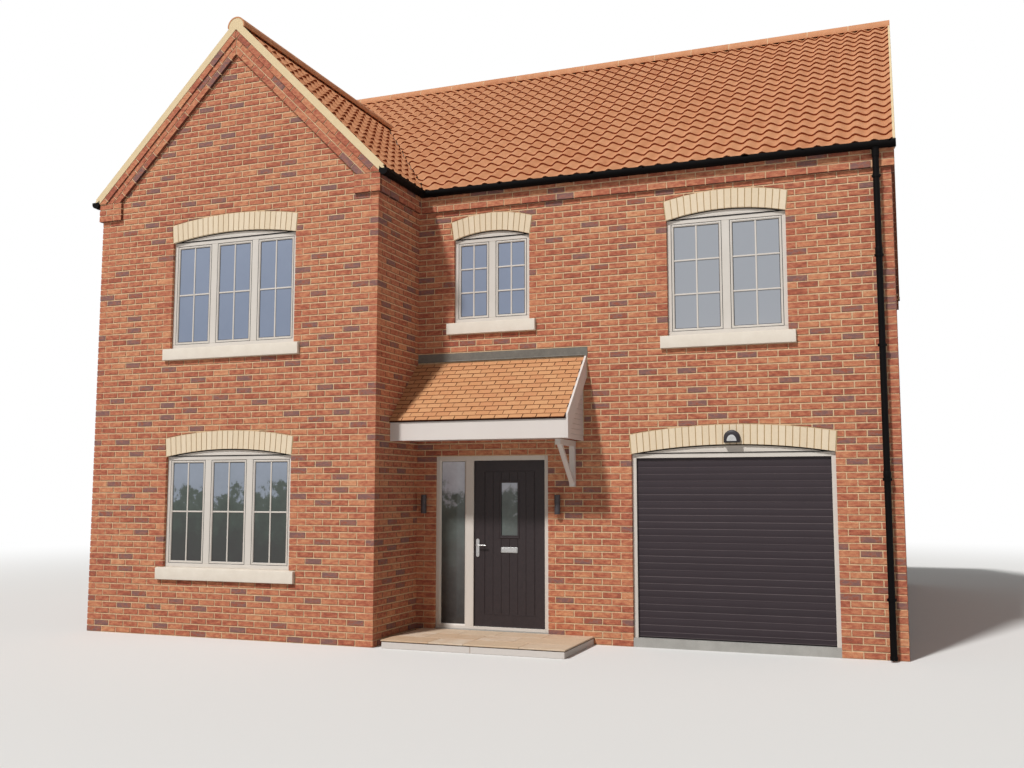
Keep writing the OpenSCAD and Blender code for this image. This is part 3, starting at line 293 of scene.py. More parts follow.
# Shapes. A pile collects the polygons of one piece, each with a tone and a finish number.
class Pile:
    def __init__(self):
        self.points, self.faces, self.tones, self.paints = [], [], [], []

    def add(self, points, faces, tone=0.5, paint=0):
        start = len(self.points)
        self.points += points
        self.faces += [[start + i for i in face] for face in faces]
        self.tones += [tone] * len(faces)
        self.paints += [paint] * len(faces)

    def addConvex(self, points, faces, tone=0.5, paint=0):
        # turns each face of a convex shape outwards
        middle = [sum(p[k] for p in points) / len(points) for k in range(3)]
        turned = []
        for face in faces:
            a, b, c = (points[face[i]] for i in (0, 1, 2))
            u = [b[k] - a[k] for k in range(3)]
            v = [c[k] - a[k] for k in range(3)]
            normal = (u[1] * v[2] - u[2] * v[1], u[2] * v[0] - u[0] * v[2],
                      u[0] * v[1] - u[1] * v[0])
            outward = sum(normal[k] * (a[k] - middle[k]) for k in range(3)) > 0
            turned.append(face if outward else face[::-1])
        self.add(points, turned, tone, paint)


def makePiece(name, pile, paints, slotName, body="house", stands=(), closed=False, smooth=None):
    # closed pieces are welded with their faces turned outwards, smooth ones are only welded
    mesh = bpy.data.meshes.new(name)
    mesh.from_pydata([(x - middleX, y - middleY, z) for x, y, z in pile.points], [], pile.faces)
    mesh.polygons.foreach_set("material_index", pile.paints)
    mesh.attributes.new("tone", "FLOAT", "FACE").data.foreach_set("value", pile.tones)
    for paint in paints:
        mesh.materials.append(finish[paint])
    if closed or smooth:
        shape = bmesh.new()
        shape.from_mesh(mesh)
        bmesh.ops.remove_doubles(shape, verts=shape.verts, dist=2e-5)
        if closed:
            bmesh.ops.recalc_face_normals(shape, faces=shape.faces)
        shape.to_mesh(mesh)
        shape.free()
    if smooth:
        mesh.shade_smooth()
        mesh.set_sharp_from_angle(angle=math.radians(smooth))
    piece = bpy.data.objects.new(name, mesh)
    bpy.context.scene.collection.objects.link(piece)
    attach(piece, body)
    if stands:
        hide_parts(*stands)
    return piece


def facing(x, y, along, out):
    # a wall's own directions: u runs to the right along it, z up, and d out of it
    return lambda u, z, d: (x + along[0] * u + out[0] * d, y + along[1] * u + out[1] * d, z)


gableFace = facing(0, -forward, (1, 0), (0, -1))
mainFace = facing(0, 0, (1, 0), (0, -1))
gableSideFace = facing(gableWide, -forward, (0, 1), (1, 0))
rightFace = facing(wide, 0, (0, 1), (1, 0))
rearFace = facing(wide, deep, (-1, 0), (0, 1))
leftFace = facing(0, deep, (0, -1), (-1, 0))


def across(d, z, u):
    # the front wall's directions in another order, for outlines that are drawn from the side
    return mainFace(u, z, d)


boxCorners = [(a, b, c) for a in (0, 1) for b in (0, 1) for c in (0, 1)]
boxTurns = ((0, 0), (1, 0), (1, 1), (0, 1))


def cornerAt(axis, side, turn):
    corner = [0, 0, 0]
    corner[axis], corner[(axis + 1) % 3], corner[(axis + 2) % 3] = side, *turn
    return boxCorners.index(tuple(corner))


def boxShape(low, high, bevel):
    # a box; with its edges taken off it has 24 points and 26 faces
    limits = (low, high)
    if not bevel:
        points = [tuple(limits[corner[k]][k] for k in range(3)) for corner in boxCorners]
        return points, [[cornerAt(axis, side, turn) for turn in boxTurns]
                        for axis in range(3) for side in (0, 1)]
    points = [tuple(limits[corner[k]][k] + (0 if k == axis else -bevel if corner[k] else bevel)
                    for k in range(3)) for corner in boxCorners for axis in range(3)]
    faces = []
    for axis in range(3):
        b, c = (axis + 1) % 3, (axis + 2) % 3
        faces += [[3 * cornerAt(axis, side, turn) + axis for turn in boxTurns]
                  for side in (0, 1)]
        for turn in boxTurns:  # the edges that run along this axis
            near, far = 3 * cornerAt(axis, 0, turn), 3 * cornerAt(axis, 1, turn)
            faces.append([near + b, far + b, far + c, near + c])
    return points, faces + [[3 * i + axis for axis in range(3)] for i in range(len(boxCorners))]


def addBox(pile, low, high, bevel=0, tone=0.5, paint=0, place=None):
    points, faces = boxShape(low, high, bevel)
    if place:
        points = [place(*p) for p in points]
    pile.addConvex(points, faces, tone, paint)


def addRings(pile, rings, tone=0.5, paint=0, loop=True, caps=False):
    # neighbouring rings of points are joined by quads; loop joins the last ring to the first
    count = len(rings[0])
    points = [p for ring in rings for p in ring]
    faces = []
    last = len(rings) if loop else len(rings) - 1
    for i in range(last):
        a, b = i * count, ((i + 1) % len(rings)) * count
        for j in range(count):
            k = (j + 1) % count
            faces.append([a + j, a + k, b + k, b + j])
    if caps:
        faces.append(list(range(count))[::-1])
        faces.append([(len(rings) - 1) * count + j for j in range(count)])
    pile.add(points, faces, tone, paint)


def addFrame(pile, face, box, profile, tone=0.5, paint=0):
    # a closed profile of (inset, depth) points swept round a rectangle, with mitred corners
    u0, z0, u1, z1 = box
    rings = [[face(u0 + i, z0 + i, d), face(u1 - i, z0 + i, d), face(u1 - i, z1 - i, d),
              face(u0 + i, z1 - i, d)] for i, d in profile]
    addRings(pile, rings, tone, paint)


def addLathe(pile, place, profile, steps=32, paint=0):
    # a closed profile of (radius, height) points, turned round the axis of place(a, b, height)
    rings = []
    for i in range(steps):
        angle = math.radians(360 * i / steps)
        rings.append([place(r * math.cos(angle), r * math.sin(angle), h) for r, h in profile])
    addRings(pile, rings, 0.5, paint)


def addPrism(pile, outline, place, near, far, bevel, paint=0):
    # a convex outline between two depths, with both rims taken off
    small = shrink(outline, bevel)
    rings = [(small, near), (outline, near + bevel), (outline, far - bevel), (small, far)]
    addRings(pile, [[place(p[0], p[1], d) for p in ring] for ring, d in rings],
             paint=paint, loop=False, caps=True)


def shrink(outline, edge):
    # moves the sides of a convex outline inwards
    lines = []
    for (a, b), (c, d) in zip(outline, outline[1:] + outline[:1]):
        length = math.hypot(c - a, d - b) or 1e-9
        u, v = (c - a) / length, (d - b) / length
        lines.append((a - v * edge, b + u * edge, u, v))
    moved = []
    for (a, b, u, v), (c, d, s, t) in zip(lines[-1:] + lines[:-1], lines):
        cross = u * t - v * s
        if abs(cross) < 1e-6:
            moved.append((c, d))
            continue
        reach = ((c - a) * t - (d - b) * s) / cross
        moved.append((a + u * reach, b + v * reach))
    if areaOf(moved) < 0.15 * areaOf(outline):  # too thin for that, so drawn towards its middle
        u = sum(p[0] for p in outline) / len(outline)
        v = sum(p[1] for p in outline) / len(outline)
        moved = [(p[0] + 0.2 * (u - p[0]), p[1] + 0.2 * (v - p[1])) for p in outline]
    return moved


def areaOf(outline):
    return sum(p[0] * q[1] - q[0] * p[1]
               for p, q in zip(outline, outline[1:] + outline[:1])) / 2


def clip(outline, a, b, c):
    # keeps the part of a convex outline where a*u + b*z <= c
    kept = []
    for p, q in zip(outline, outline[1:] + outline[:1]):
        before, after = a * p[0] + b * p[1] - c, a * q[0] + b * q[1] - c
        if before <= 0:
            kept.append(p)
        if before * after < 0:
            t = before / (before - after)
            kept.append(tuple(p[k] + t * (q[k] - p[k]) for k in range(len(p))))
    apart = []
    for p in kept:
        if not apart or math.dist(p, apart[-1]) > 1e-5:
            apart.append(p)
    if len(apart) > 1 and math.dist(apart[0], apart[-1]) < 1e-5:
        apart.pop()
    return apart


def clipAll(outline, lines):
    for line in lines:
        if len(outline) < 3:
            break
        outline = clip(outline, *line)
    return outline if len(outline) > 2 else []


# Windows: left edge, sill height, width, height, lights and rows of panes in a light
largeWindow, smallWindow = (1.8, 1.35, 3, 2), (1.0, 1.05, 2, 3)
gableWindows = [(1.13, 0.825, *largeWindow), (1.13, 3.525, *largeWindow)]
mainWindows = [(4.525, 3.825, *smallWindow), (7.21, 3.525, 1.35, 1.35, 2, 3)]
rearWindows = [(1.13, 0.825, *largeWindow), (6.745, 0.825, *largeWindow),
               (1.13, 3.525, *largeWindow), (4.3375, 3.825, *smallWindow),
               (6.745, 3.525, *largeWindow)]
allWindows = ([(gableFace, item) for item in gableWindows]
              + [(mainFace, item) for item in mainWindows]
              + [(rearFace, item) for item in rearWindows])
garage = dict(left=6.765, right=9.015, head=2.175, rise=0.095, foot=0.1)
doorSet = dict(left=4.29, right=5.755, head=2.175)
sill = dict(height=0.15, out=0.05, ear=0.08, fall=0.008, nose=0.009, back=-0.1025, drip=0.004)
archShape = dict(rise=0.085, ring=0.22, lean=0.42, bedding=0.006)

# Brickwork: courses of 75 mm with 10 mm joints, the bricks standing a little proud of the
# mortar, which is the wall's own face. A share of the bricks is plum.
brickwork = dict(course=0.075, length=0.225, joint=0.011, bed=0.012, proud=0.0055, sunk=0.002,
                 edge=0.0022, worn=0.0032, uneven=0.0012, returned=0.0345, round=0.0015,
                 closer=0.055, reveal=0.0012, plain=0.005, plumShare=0.14, plumFrom=0.84,
                 plumApart=0.05, redFrom=0.08, redTo=0.66, red=(0.38, 0.1), seed=11)
redBricks = (["redBrick", "brickEdge"], "red_brick")
dice = random.Random(brickwork["seed"])


def brickTone(quiet=False):
    # quiet keeps a brick beside or above a plum one from being plum too
    if not quiet and dice.random() < brickwork["plumShare"]:
        return dice.uniform(brickwork["plumFrom"], 1.0)
    return min(brickwork["redTo"], max(brickwork["redFrom"], dice.gauss(*brickwork["red"])))


def addBrick(pile, face, outline, front, back, tone, edge=None, sides=1):
    # a brick or tile with its rim taken off; without a given edge it is uneven, with its lower
    # arris cut back further too
    if len(outline) < 3 or areaOf(outline) < 6e-4:
        return
    inner = shrink(outline, brickwork["edge"] if edge is None else edge)
    jog = brickwork["uneven"] if edge is None else 0
    if edge is None:  # the lower arris is cut back further, a wider strip of the sides' painted shade
        low, high = min(p[1] for p in inner), max(p[1] for p in inner)
        inner = [(u, z + brickwork["worn"] * (high - z) / (high - low)) for u, z in inner]
    n = len(outline)
    points = [face(u, z, back) for u, z in outline]
    points += [face(u + dice.uniform(-jog, jog), z + dice.uniform(-jog, jog), front)
               for u, z in inner]
    pile.add(points, [list(range(n, 2 * n)), list(range(n))[::-1]], tone)
    start = len(pile.points) - 2 * n
    # the sides take finish number sides; on wall bricks and plain tiles it is painted shade
    for i in range(n):
        k = (i + 1) % n
        pile.faces.append([start + i, start + k, start + n + k, start + n + i])
        pile.tones.append(tone)
        pile.paints.append(sides)


def arcOf(width, rise):
    radius = (width * width / 4 + rise * rise) / (2 * rise)
    return radius, math.asin(width / 2 / radius)


def skewback(arch, side):
    # where an arch's end starts and how far it leans out
    middle, head, width, rise = arch
    radius, half = arcOf(width, rise)
    return (middle + side * radius * math.sin(half),
            head + rise - radius + radius * math.cos(half), side * half * archShape["lean"])


def outsideArch(outline, arch):
    # the parts of a brick that lie beside an arch's ends and above its back
    middle, head, width, rise = arch
    radius, half = arcOf(width, rise)
    centre, back = head + rise - radius, radius + archShape["ring"]
    gap = brickwork["joint"] * 0.6
    parts, rest = [], outline
    if min(p[1] for p in outline) < skewback(arch, 1)[1] + archShape["ring"]:
        for side in (-1, 1):
            u, z, lean = skewback(arch, side)
            a, b = -side * math.cos(lean), side * math.sin(lean)
            c = a * u + b * z
            beside = clip(rest, a, b, c - gap)
            if len(beside) > 2:
                parts.append(beside)
            rest = clip(rest, -a, -b, archShape["bedding"] - c)
            if len(rest) < 3:
                return parts
    u = sum(p[0] for p in rest) / len(rest) - middle
    z = sum(p[1] for p in rest) / len(rest) - centre
    angle = max(-half, min(half, math.atan2(u, z)))
    a, b = -math.sin(angle), -math.cos(angle)
    above = clip(rest, a, b, a * middle + b * centre - back - gap)
    if len(above) > 2:
        parts.append(above)
    return parts


def spansOf(spans, holes, z):
    # what the holes leave of a course at height z; each end has a kind: corner, reveal, plain
    for left, right, bottom, top, returned in holes:
        if not bottom < z < top:
            continue
        kind = "reveal" if returned else "plain"
        kept = []
        for a, b, first, last in spans:
            if left < b and right > a:
                if left > a:
                    kept.append((a, left, first, kind))
                if right < b:
                    kept.append((right, b, kind, last))
            else:
                kept.append((a, b, first, last))
        spans = kept
    return spans


def bricksOf(origin, a, b, module):
    # the bricks of one span, with those at its ends that come out too short joined on
    bricks = []
    k = 0
    while origin + k * module < b:
        left = origin + k * module
        right = left + module - brickwork["joint"]
        k += 1
        left, right = max(left, a), min(right, b)
        if right - left > 1e-4:
            bricks.append([left, right])
    while len(bricks) > 1 and bricks[0][1] - bricks[0][0] < brickwork["closer"]:
        closer = bricks.pop(0)
        bricks[0][0] = closer[0]
    while len(bricks) > 1 and bricks[-1][1] - bricks[-1][0] < brickwork["closer"]:
        closer = bricks.pop()
        bricks[-1][1] = closer[1]
    return bricks


def layWall(pile, face, start, end, low, high, phase, corners=(False, False), holes=(),
            arches=(), lines=()):
    # holes are (left, right, low, high, returned); lines keep a*u + b*z <= c
    joint, course, apart = (brickwork[key] for key in ("joint", "course", "plumApart"))
    module = moduleOf(end - start)
    plums = []
    for row in range(round(low / course), round(high / course)):
        plumsBelow, plums = plums, []
        z0, z1 = row * course + brickwork["bed"] / 2, (row + 1) * course - brickwork["bed"] / 2
        spans = spansOf([(start, end, corners[0] and "corner", corners[1] and "corner")], holes,
                        (z0 + z1) / 2)
        offset = 0 if (row + phase) % 2 == 0 else -module / 2
        for a, b, first, last in spans:
            bricks = bricksOf(start + offset, a, b, module)
            for number, (left, right) in enumerate(bricks):
                kinds = (first if number == 0 else None,
                         last if number == len(bricks) - 1 else None)
                if "corner" in kinds:
                    continue
                near = ((plums and plums[-1][1] > left - apart)
                        or any(p < right and q > left for p, q in plumsBelow))
                tone = brickTone(near)
                if tone >= brickwork["plumFrom"]:
                    plums.append((left, right))
                if "reveal" in kinds:
                    left -= brickwork["reveal"] if kinds[0] == "reveal" else 0
                    right += brickwork["reveal"] if kinds[1] == "reveal" else 0
                    addBox(pile, (left, z0, -brickwork["returned"]),
                           (right, z1, brickwork["proud"]), brickwork["round"], tone, 0, face)
                    continue
                left += brickwork["plain"] if kinds[0] == "plain" else 0
                right -= brickwork["plain"] if kinds[1] == "plain" else 0
                outline = clipAll([(left, z0), (right, z0), (right, z1), (left, z1)], lines)
                parts = [outline] if outline else []
                for arch in arches:
                    if (z1 > arch[1] and z0 < arch[1] + arch[3] + archShape["ring"] + 0.02
                            and abs((left + right) / 2 - arch[0]) < arch[2] / 2 + 0.4):
                        parts = [piece for part in parts for piece in outsideArch(part, arch)]
                for part in parts:
                    addBrick(pile, face, part, brickwork["proud"], -brickwork["sunk"], tone)


def moduleOf(length):
    # the bricks' spacing that fills a length with whole and half ones
    halves = round(2 * (length + brickwork["joint"]) / brickwork["length"])
    return 2 * (length + brickwork["joint"]) / halves


def layCorner(pile, x, y, alongX, alongY, lengthX, lengthY, phase):
    # corner bricks show a stretcher on one face and a header on the other, by turns
    joint, proud = brickwork["joint"], brickwork["proud"]
    for row in range(round(bands["low"] / brickwork["course"])):
        stretcherOnX = (row + phase) % 2 == 0
        reachX = moduleOf(lengthX) * (1 if stretcherOnX else 0.5) - joint
        reachY = moduleOf(lengthY) * (0.5 if stretcherOnX else 1) - joint
        xs = sorted((x - alongX * proud, x + alongX * reachX))
        ys = sorted((y - alongY * proud, y + alongY * reachY))
        z = row * brickwork["course"] + brickwork["bed"] / 2
        addBox(pile, (xs[0], ys[0], z),
               (xs[1], ys[1], z + brickwork["course"] - brickwork["bed"]), brickwork["round"],
               brickTone())


def holesOf(windows):
    holes = []
    for left, low, width, height, lights, rows in windows:
        holes.append((left, left + width, low, low + height, True))
        holes.append((left - sill["ear"], left + width + sill["ear"], low - sill["height"], low,
                      False))
    return holes


def archesOf(windows):
    return [(left + width / 2, low + height, width, archShape["rise"])
            for left, low, width, height, lights, rows in windows]


# Bands of whole bricks: three courses at the eaves, kneelers at the gables' feet, and raking
# bands under the verges. The walls' bricks end at them.
bands = dict(low=5.25, rows=3, kneelerTop=5.475, kneeler=0.305, out=0.035, rake=0.225, gap=0.006,
             sideEaves=5.48, gableTop=7.35, sideTop=8.65)
plumb = house["roofDepth"] + bands["rake"] / gableCos
gableLine = house["gableRidgeZ"] - plumb + gableX - bands["gap"]
mainLine = house["eavesZ"] - house["roofDepth"] - bands["rake"] / mainCos - bands["gap"]
garageArch = ((garage["left"] + garage["right"]) / 2, garage["head"],
              garage["right"] - garage["left"], garage["rise"])
sideLong = deep + forward


def kneelerHoles(length):
    return [(left, right, bands["low"], bands["kneelerTop"], False)
            for left, right in ((0, bands["kneeler"]), (length - bands["kneeler"], length))]


pile = Pile()
layWall(pile, gableFace, 0, gableWide, 0, bands["low"], 0, (True, True), holesOf(gableWindows),
        archesOf(gableWindows))
layWall(pile, gableFace, 0, gableWide, bands["low"], bands["gableTop"], 0,
        holes=kneelerHoles(gableWide),
        lines=[(1, 1, gableLine), (-1, 1, gableLine - gableWide)])
makePiece("gable_front_bricks", pile, *redBricks)

pile = Pile()
layWall(pile, gableSideFace, 0, forward, 0, bands["low"], 1, (True, False))
makePiece("gable_side_bricks", pile, *redBricks)

behindCanopy = [(gableWide, 6.197, 2.4, 3.445, False), (6.197, 6.245, 3.09, 3.445, False)]
pile = Pile()
layWall(pile, mainFace, gableWide, wide, 0, bands["low"], 0, (False, True),
        holesOf(mainWindows)
        + [(opening["left"], opening["right"], 0, opening["head"], True)
           for opening in (doorSet, garage)] + behindCanopy,
        archesOf(mainWindows) + [garageArch])
makePiece("main_front_bricks", pile, *redBricks)

sideLines = [(-mainTan, 1, mainLine), (mainTan, 1, mainLine + deep * mainTan)]
besideGable = [(deep, sideLong, bands["low"], 9, False)]  # under the gable block's own eaves
for name, face, length, phase, holes in (
        ("right_wall_bricks", rightFace, deep, 1, []),
        ("left_wall_bricks", leftFace, sideLong, 0, besideGable)):
    pile = Pile()
    layWall(pile, face, 0, length, 0, bands["low"], phase, (True, True))
    layWall(pile, face, 0, length, bands["low"], bands["sideTop"], phase,
            holes=kneelerHoles(deep) + holes, lines=sideLines)
    makePiece(name, pile, *redBricks)

pile = Pile()
layWall(pile, rearFace, 0, wide, 0, bands["low"], 1, (True, True), holesOf(rearWindows),
        archesOf(rearWindows))
makePiece("rear_wall_bricks", pile, *redBricks)

pile = Pile()
for corner in ((0, -forward, 1, 1, gableWide, sideLong, 0),
               (gableWide, -forward, -1, 1, gableWide, forward, 0),
               (wide, 0, -1, 1, wide - gableWide, deep, 0),
               (wide, deep, -1, -1, wide, deep, 1),
               (0, deep, 1, -1, wide, sideLong, 1)):
    layCorner(pile, *corner)
makePiece("corner_bricks", pile, *redBricks)
print("house: walls laid")


# Corbelled bands and kneelers: whole bricks that also show underneath
def layBand(pile, face, start, end, top, lines=()):
    course, length, bed = (brickwork[key] for key in ("course", "length", "bed"))
    for row in range(bands["rows"]):
        low = bands["low"] + row * course + (bed / 2 if row else -brickwork["round"])
        high = min(bands["low"] + (row + 1) * course - bed / 2, top)
        left = start - (length / 2 if row % 2 else 0)
        while left < end - 0.001:
            a, b = max(left, start), min(left + length - brickwork["joint"], end)
            left += length
            if end - b < 0.05:  # a short one is joined on
                b = end
                left = end
            outline = clipAll([(a, low), (b, low), (b, high), (a, high)], lines)
            addBrick(pile, face, outline, bands["out"] + brickwork["proud"], 0.0, brickTone(),
                     edge=0.001)


gap, kneelerTop, kneelerEnd = bands["gap"], bands["kneelerTop"], bands["kneeler"] + 0.0015
bandEnd = bands["out"] + brickwork["proud"]
bandTop = house["eavesZ"] - bands["out"] * mainTan - house["roofDepth"] - 0.002
roofUnder = house["eavesZ"] - house["roofDepth"] - 0.002
roofLines = [(-mainTan, 1, roofUnder), (mainTan, 1, roofUnder + deep * mainTan)]
pile = Pile()
layBand(pile, mainFace, gableWide + bandEnd + gap, wide + bandEnd, bandTop)
layBand(pile, gableSideFace, gap, forward - bands["out"], bands["sideEaves"])
layBand(pile, leftFace, deep - 0.3, sideLong - gap, kneelerTop)
layBand(pile, rearFace, -bandEnd, wide + bandEnd, bandTop)
makePiece("eaves_band_bricks", pile, *redBricks)

pile = Pile()
layBand(pile, gableFace, -bandEnd, kneelerEnd, kneelerTop)
layBand(pile, gableFace, gableWide - kneelerEnd, gableWide + bandEnd, kneelerTop)
layBand(pile, rightFace, gap, kneelerEnd, kneelerTop, roofLines)
layBand(pile, rightFace, deep - kneelerEnd, deep - gap, kneelerTop, roofLines)
layBand(pile, leftFace, gap, kneelerEnd, kneelerTop, roofLines)
makePiece("kneeler_bricks", pile, *redBricks)

# Raking bands: bricks laid along the slope under the verge, the outer course further out
rake = dict(bands=(dict(rows=1, near=0.0, out=0.05), dict(rows=2, near=0.075, out=0.035)),
            brick=0.215, length=0.225, course=0.075, high=0.070, first=0.003, bed=0.0045,
            cover=0.0065, bond=0.12, apart=0.004, over=0.003)


def layRake(pile, face, middle, ridgeZ, pitch, reach):
    c, s = math.cos(math.radians(pitch)), math.sin(math.radians(pitch))
    for side in (-1, 1):
        limits = [(-side, 0, -side * middle - rake["apart"]), (0, -1, -kneelerTop - 0.002),
                  (side, 0, side * middle + reach * c)]
        for band in rake["bands"]:
            for row in range(band["rows"]):
                top = band["near"] + row * rake["course"]
                near = top + (rake["bed"] if row or band["near"] else rake["first"])
                far = top + rake["high"]
                if row == band["rows"] - 1:
                    far += rake["cover"]  # the lowest course covers the band's underside
                along = -rake["bond"] * ((row + band["rows"]) % 2)
                while along < reach:
                    end = along + rake["brick"]
                    outline = [(middle + side * (a * c - t * s), ridgeZ - a * s - t * c)
                               for a, t in ((along, near), (end, near), (end, far), (along, far))]
                    along += rake["length"]
                    if areaOf(outline) < 0:
                        outline = outline[::-1]
                    addBrick(pile, face, clipAll(outline, limits),
                             band["out"] + brickwork["proud"], 0.0, brickTone(), edge=0.0015)


pile = Pile()
overhang = bands["out"] + rake["over"]
layRake(pile, gableFace, gableX, house["gableRidgeZ"] - house["roofDepth"],
        house["gablePitch"], (gableX + overhang) / gableCos)
for face in (rightFace, leftFace):
    layRake(pile, face, middleY, mainRidgeZ - house["roofDepth"], house["pitch"],
            (middleY + overhang) / mainCos)
makePiece("raking_band_bricks", pile, *redBricks)

# Arches of buff bricks on end, each a true wedge that also shows on the soffit
voussoirs = dict(face=0.0745, joint=0.007, soffit=0.0015, deep=0.0345, end=0.0006, edge=0.0016,
                 proud=0.0005)


def layArch(pile, face, arch):
    middle, head, width, rise = arch
    radius, half = arcOf(width, rise)
    centre = head + rise - radius
    count = round(2 * half * radius / voussoirs["face"])
    gap = voussoirs["joint"] / 2 / (radius + archShape["ring"] / 2)

    def along(t, climb):
        # the joints lean less than the circle's radii do
        reach = climb / math.cos(t * (1 - archShape["lean"])) if climb > 0 else climb
        u, z = radius * math.sin(t), radius * math.cos(t)
        lean = t * archShape["lean"]
        return middle + u + reach * math.sin(lean), centre + z + reach * math.cos(lean)

    low, high = -voussoirs["soffit"], archShape["ring"]
    for i in range(count):
        a = -half + 2 * half * i / count + (gap if i else voussoirs["end"])
        b = -half + 2 * half * (i + 1) / count - (gap if i < count - 1 else voussoirs["end"])
        addBrick(pile, face, [along(a, low), along(b, low), along(b, high), along(a, high)],
                 brickwork["proud"] + voussoirs["proud"], -voussoirs["deep"],
                 0.25 + 0.5 * dice.random(), edge=voussoirs["edge"], sides=0)


pile = Pile()
arches = [(face, archesOf([item])[0]) for face, item in allWindows] + [(mainFace, garageArch)]
for face, arch in arches:
    layArch(pile, face, arch)
makePiece("arch_bricks", pile, ["buffBrick"], "buff_brick")
print("house: bands and arches laid")


# Stone sills: a weathered top with a rounded nose
window = dict(face=-0.035, back=-0.105, frame=0.048, mullion=0.09, round=0.004, bar=0.019,
              barFront=-0.0405, barRound=0.0035, glass=-0.049, sash=0.031)
pile = Pile()
for face, (left, low, width, height, lights, rows) in allWindows:
    out, nose, drip = sill["out"], sill["nose"], sill["drip"]
    foot, front = low - sill["height"], low - sill["fall"]
    section = [(sill["back"], foot), (out - drip, foot), (out, foot + drip), (out, front - nose),
               (out - nose * 0.3, front - nose * 0.3), (out - nose, front + 0.0008),
               (window["face"], low), (sill["back"], low)]
    addPrism(pile, section, lambda d, z, u: face(u, z, d), left - sill["ear"],
             left + width + sill["ear"], 0.003)
makePiece("stone_sills", pile, ["castStone"], "cast_stone", stands=["window_sills"],
          closed=True, smooth=30)

# Windows: frame members, moulded sashes with gaskets, and glazing bars. The profiles' points
# are (inset, depth), from the light's edge and the wall's face.
sashProfile = [(0.0055, -0.041), (0.0065, -0.0378), (0.009, -0.037), (0.0195, -0.037),
               (0.0205, -0.0396), (0.0226, -0.0396), (0.0236, -0.0375), (0.0262, -0.0385),
               (0.031, -0.0462), (0.031, -0.085), (0.0055, -0.085)]
stopProfile = [(0.0, -0.0852), (0.012, -0.0852), (0.012, -0.105), (0.0, -0.105)]
# the gasket fills the sash gap wider than it is, partly real gasket and partly painted shade; the
# pane seal likewise draws the sash's shade on the glass
gasketProfile = [(-0.0004, -0.0395), (0.0058, -0.0395), (0.0058, -0.05), (-0.0004, -0.05)]
paneSeal = [(0.0305, -0.0470), (0.0360, -0.0478), (0.0368, -0.0488), (0.0305, -0.0488)]


def addMembers(pile, face, members, depths, bevel):
    # members are (left, low, right, high) on a wall's face, all between the same two depths
    for left, low, right, high in members:
        addBox(pile, (left, low, depths[0]), (right, high, depths[1]), bevel, place=face)


def lightsOf(item):
    left, low, width, height, lights, rows = item
    f, m = window["frame"], window["mullion"]
    span = (width - 2 * f - (lights - 1) * m) / lights
    return [(left + f + i * (span + m), low + f, left + f + i * (span + m) + span,
             low + height - f) for i in range(lights)]


frames, sashes, bars, seals = Pile(), Pile(), Pile(), Pile()
f, m, half, sash = window["frame"], window["mullion"], window["bar"] / 2, window["sash"]
frameDepths = (window["back"], window["face"])
for face, item in allWindows:
    left, low, width, height, lights, rows = item
    right, top = left + width, low + height
    members = [(left, low, right, low + f), (left, top - f, right, top),
               (left, low + f, left + f, top - f), (right - f, low + f, right, top - f)]
    for box in lightsOf(item):
        if box[0] > left + m:  # a mullion stands before each light but the first
            members = [(box[0] - m, low + f, box[0], top - f)]
        addMembers(frames, face, members, frameDepths, window["round"])
        addFrame(frames, face, box, stopProfile)
        addFrame(sashes, face, box, sashProfile)
        addFrame(seals, face, box, gasketProfile)
        addFrame(seals, face, box, paneSeal)
        u0, z0, u1, z1 = box[0] + sash, box[1] + sash, box[2] - sash, box[3] - sash
        middle = (u0 + u1) / 2
        members = [(middle - half, z0, middle + half, z1)]
        for z in (z0 + (z1 - z0) * row / rows for row in range(1, rows)):
            members += [(u0, z - half, middle - half, z + half),
                        (middle + half, z - half, u1, z + half)]
        addMembers(bars, face, members, (window["glass"], window["barFront"]),
                   window["barRound"])
makePiece("window_members", frames, ["framePaint"], "window_plastic", stands=["window_frames"],
          closed=True)
makePiece("moulded_sashes", sashes, ["framePaint"], "window_plastic", stands=["window_sashes"],
          closed=True)
makePiece("glazing_bars", bars, ["framePaint"], "window_plastic")
makePiece("window_gaskets", seals, ["gasket"], "window_plastic", closed=True)

# Panels under the arches: a beaded board on a dark band round its edge, painted shade
panel = dict(seal=[(0.0, -0.1025), (0.0, -0.0275)], cutEnds=0.012, steps=28,
             board=[(0.009, -0.06), (0.009, -0.0255), (0.0105, -0.024), (0.018, -0.024),
                    (0.0195, -0.0265), (0.0215, -0.0265), (0.023, -0.025)])


def addPanel(pile, face, arch, profile, paint=0):
    middle, head, width, rise = arch
    radius, half = arcOf(width, rise)
    centre, steps = head + rise - radius, panel["steps"]
    rings = []
    for inset, depth in profile:
        r, low = radius - 1.6 * inset, head + inset
        reach = min(math.sqrt(r * r - (low - centre) ** 2), width / 2 - panel["cutEnds"] - inset)
        limit = math.asin(reach / r)
        ring = [(-reach, low), (reach, low)]
        ring += [(r * math.sin(t), centre + r * math.cos(t))
                 for t in (limit - 2 * limit * i / steps for i in range(steps + 1))]
        rings.append([face(middle + u, z, depth) for u, z in ring])
    addRings(pile, rings, 0.5, paint, loop=False, caps=True)


pile = Pile()
for face, arch in arches:
    # the dark band behind the board: painted shade
    addPanel(pile, face, arch, panel["seal"], 1)
    addPanel(pile, face, arch, panel["board"])
makePiece("arch_head_panels", pile, ["framePaint", "gasket"], "window_plastic",
          stands=["arch_panels"], closed=True)
print("house: windows made")

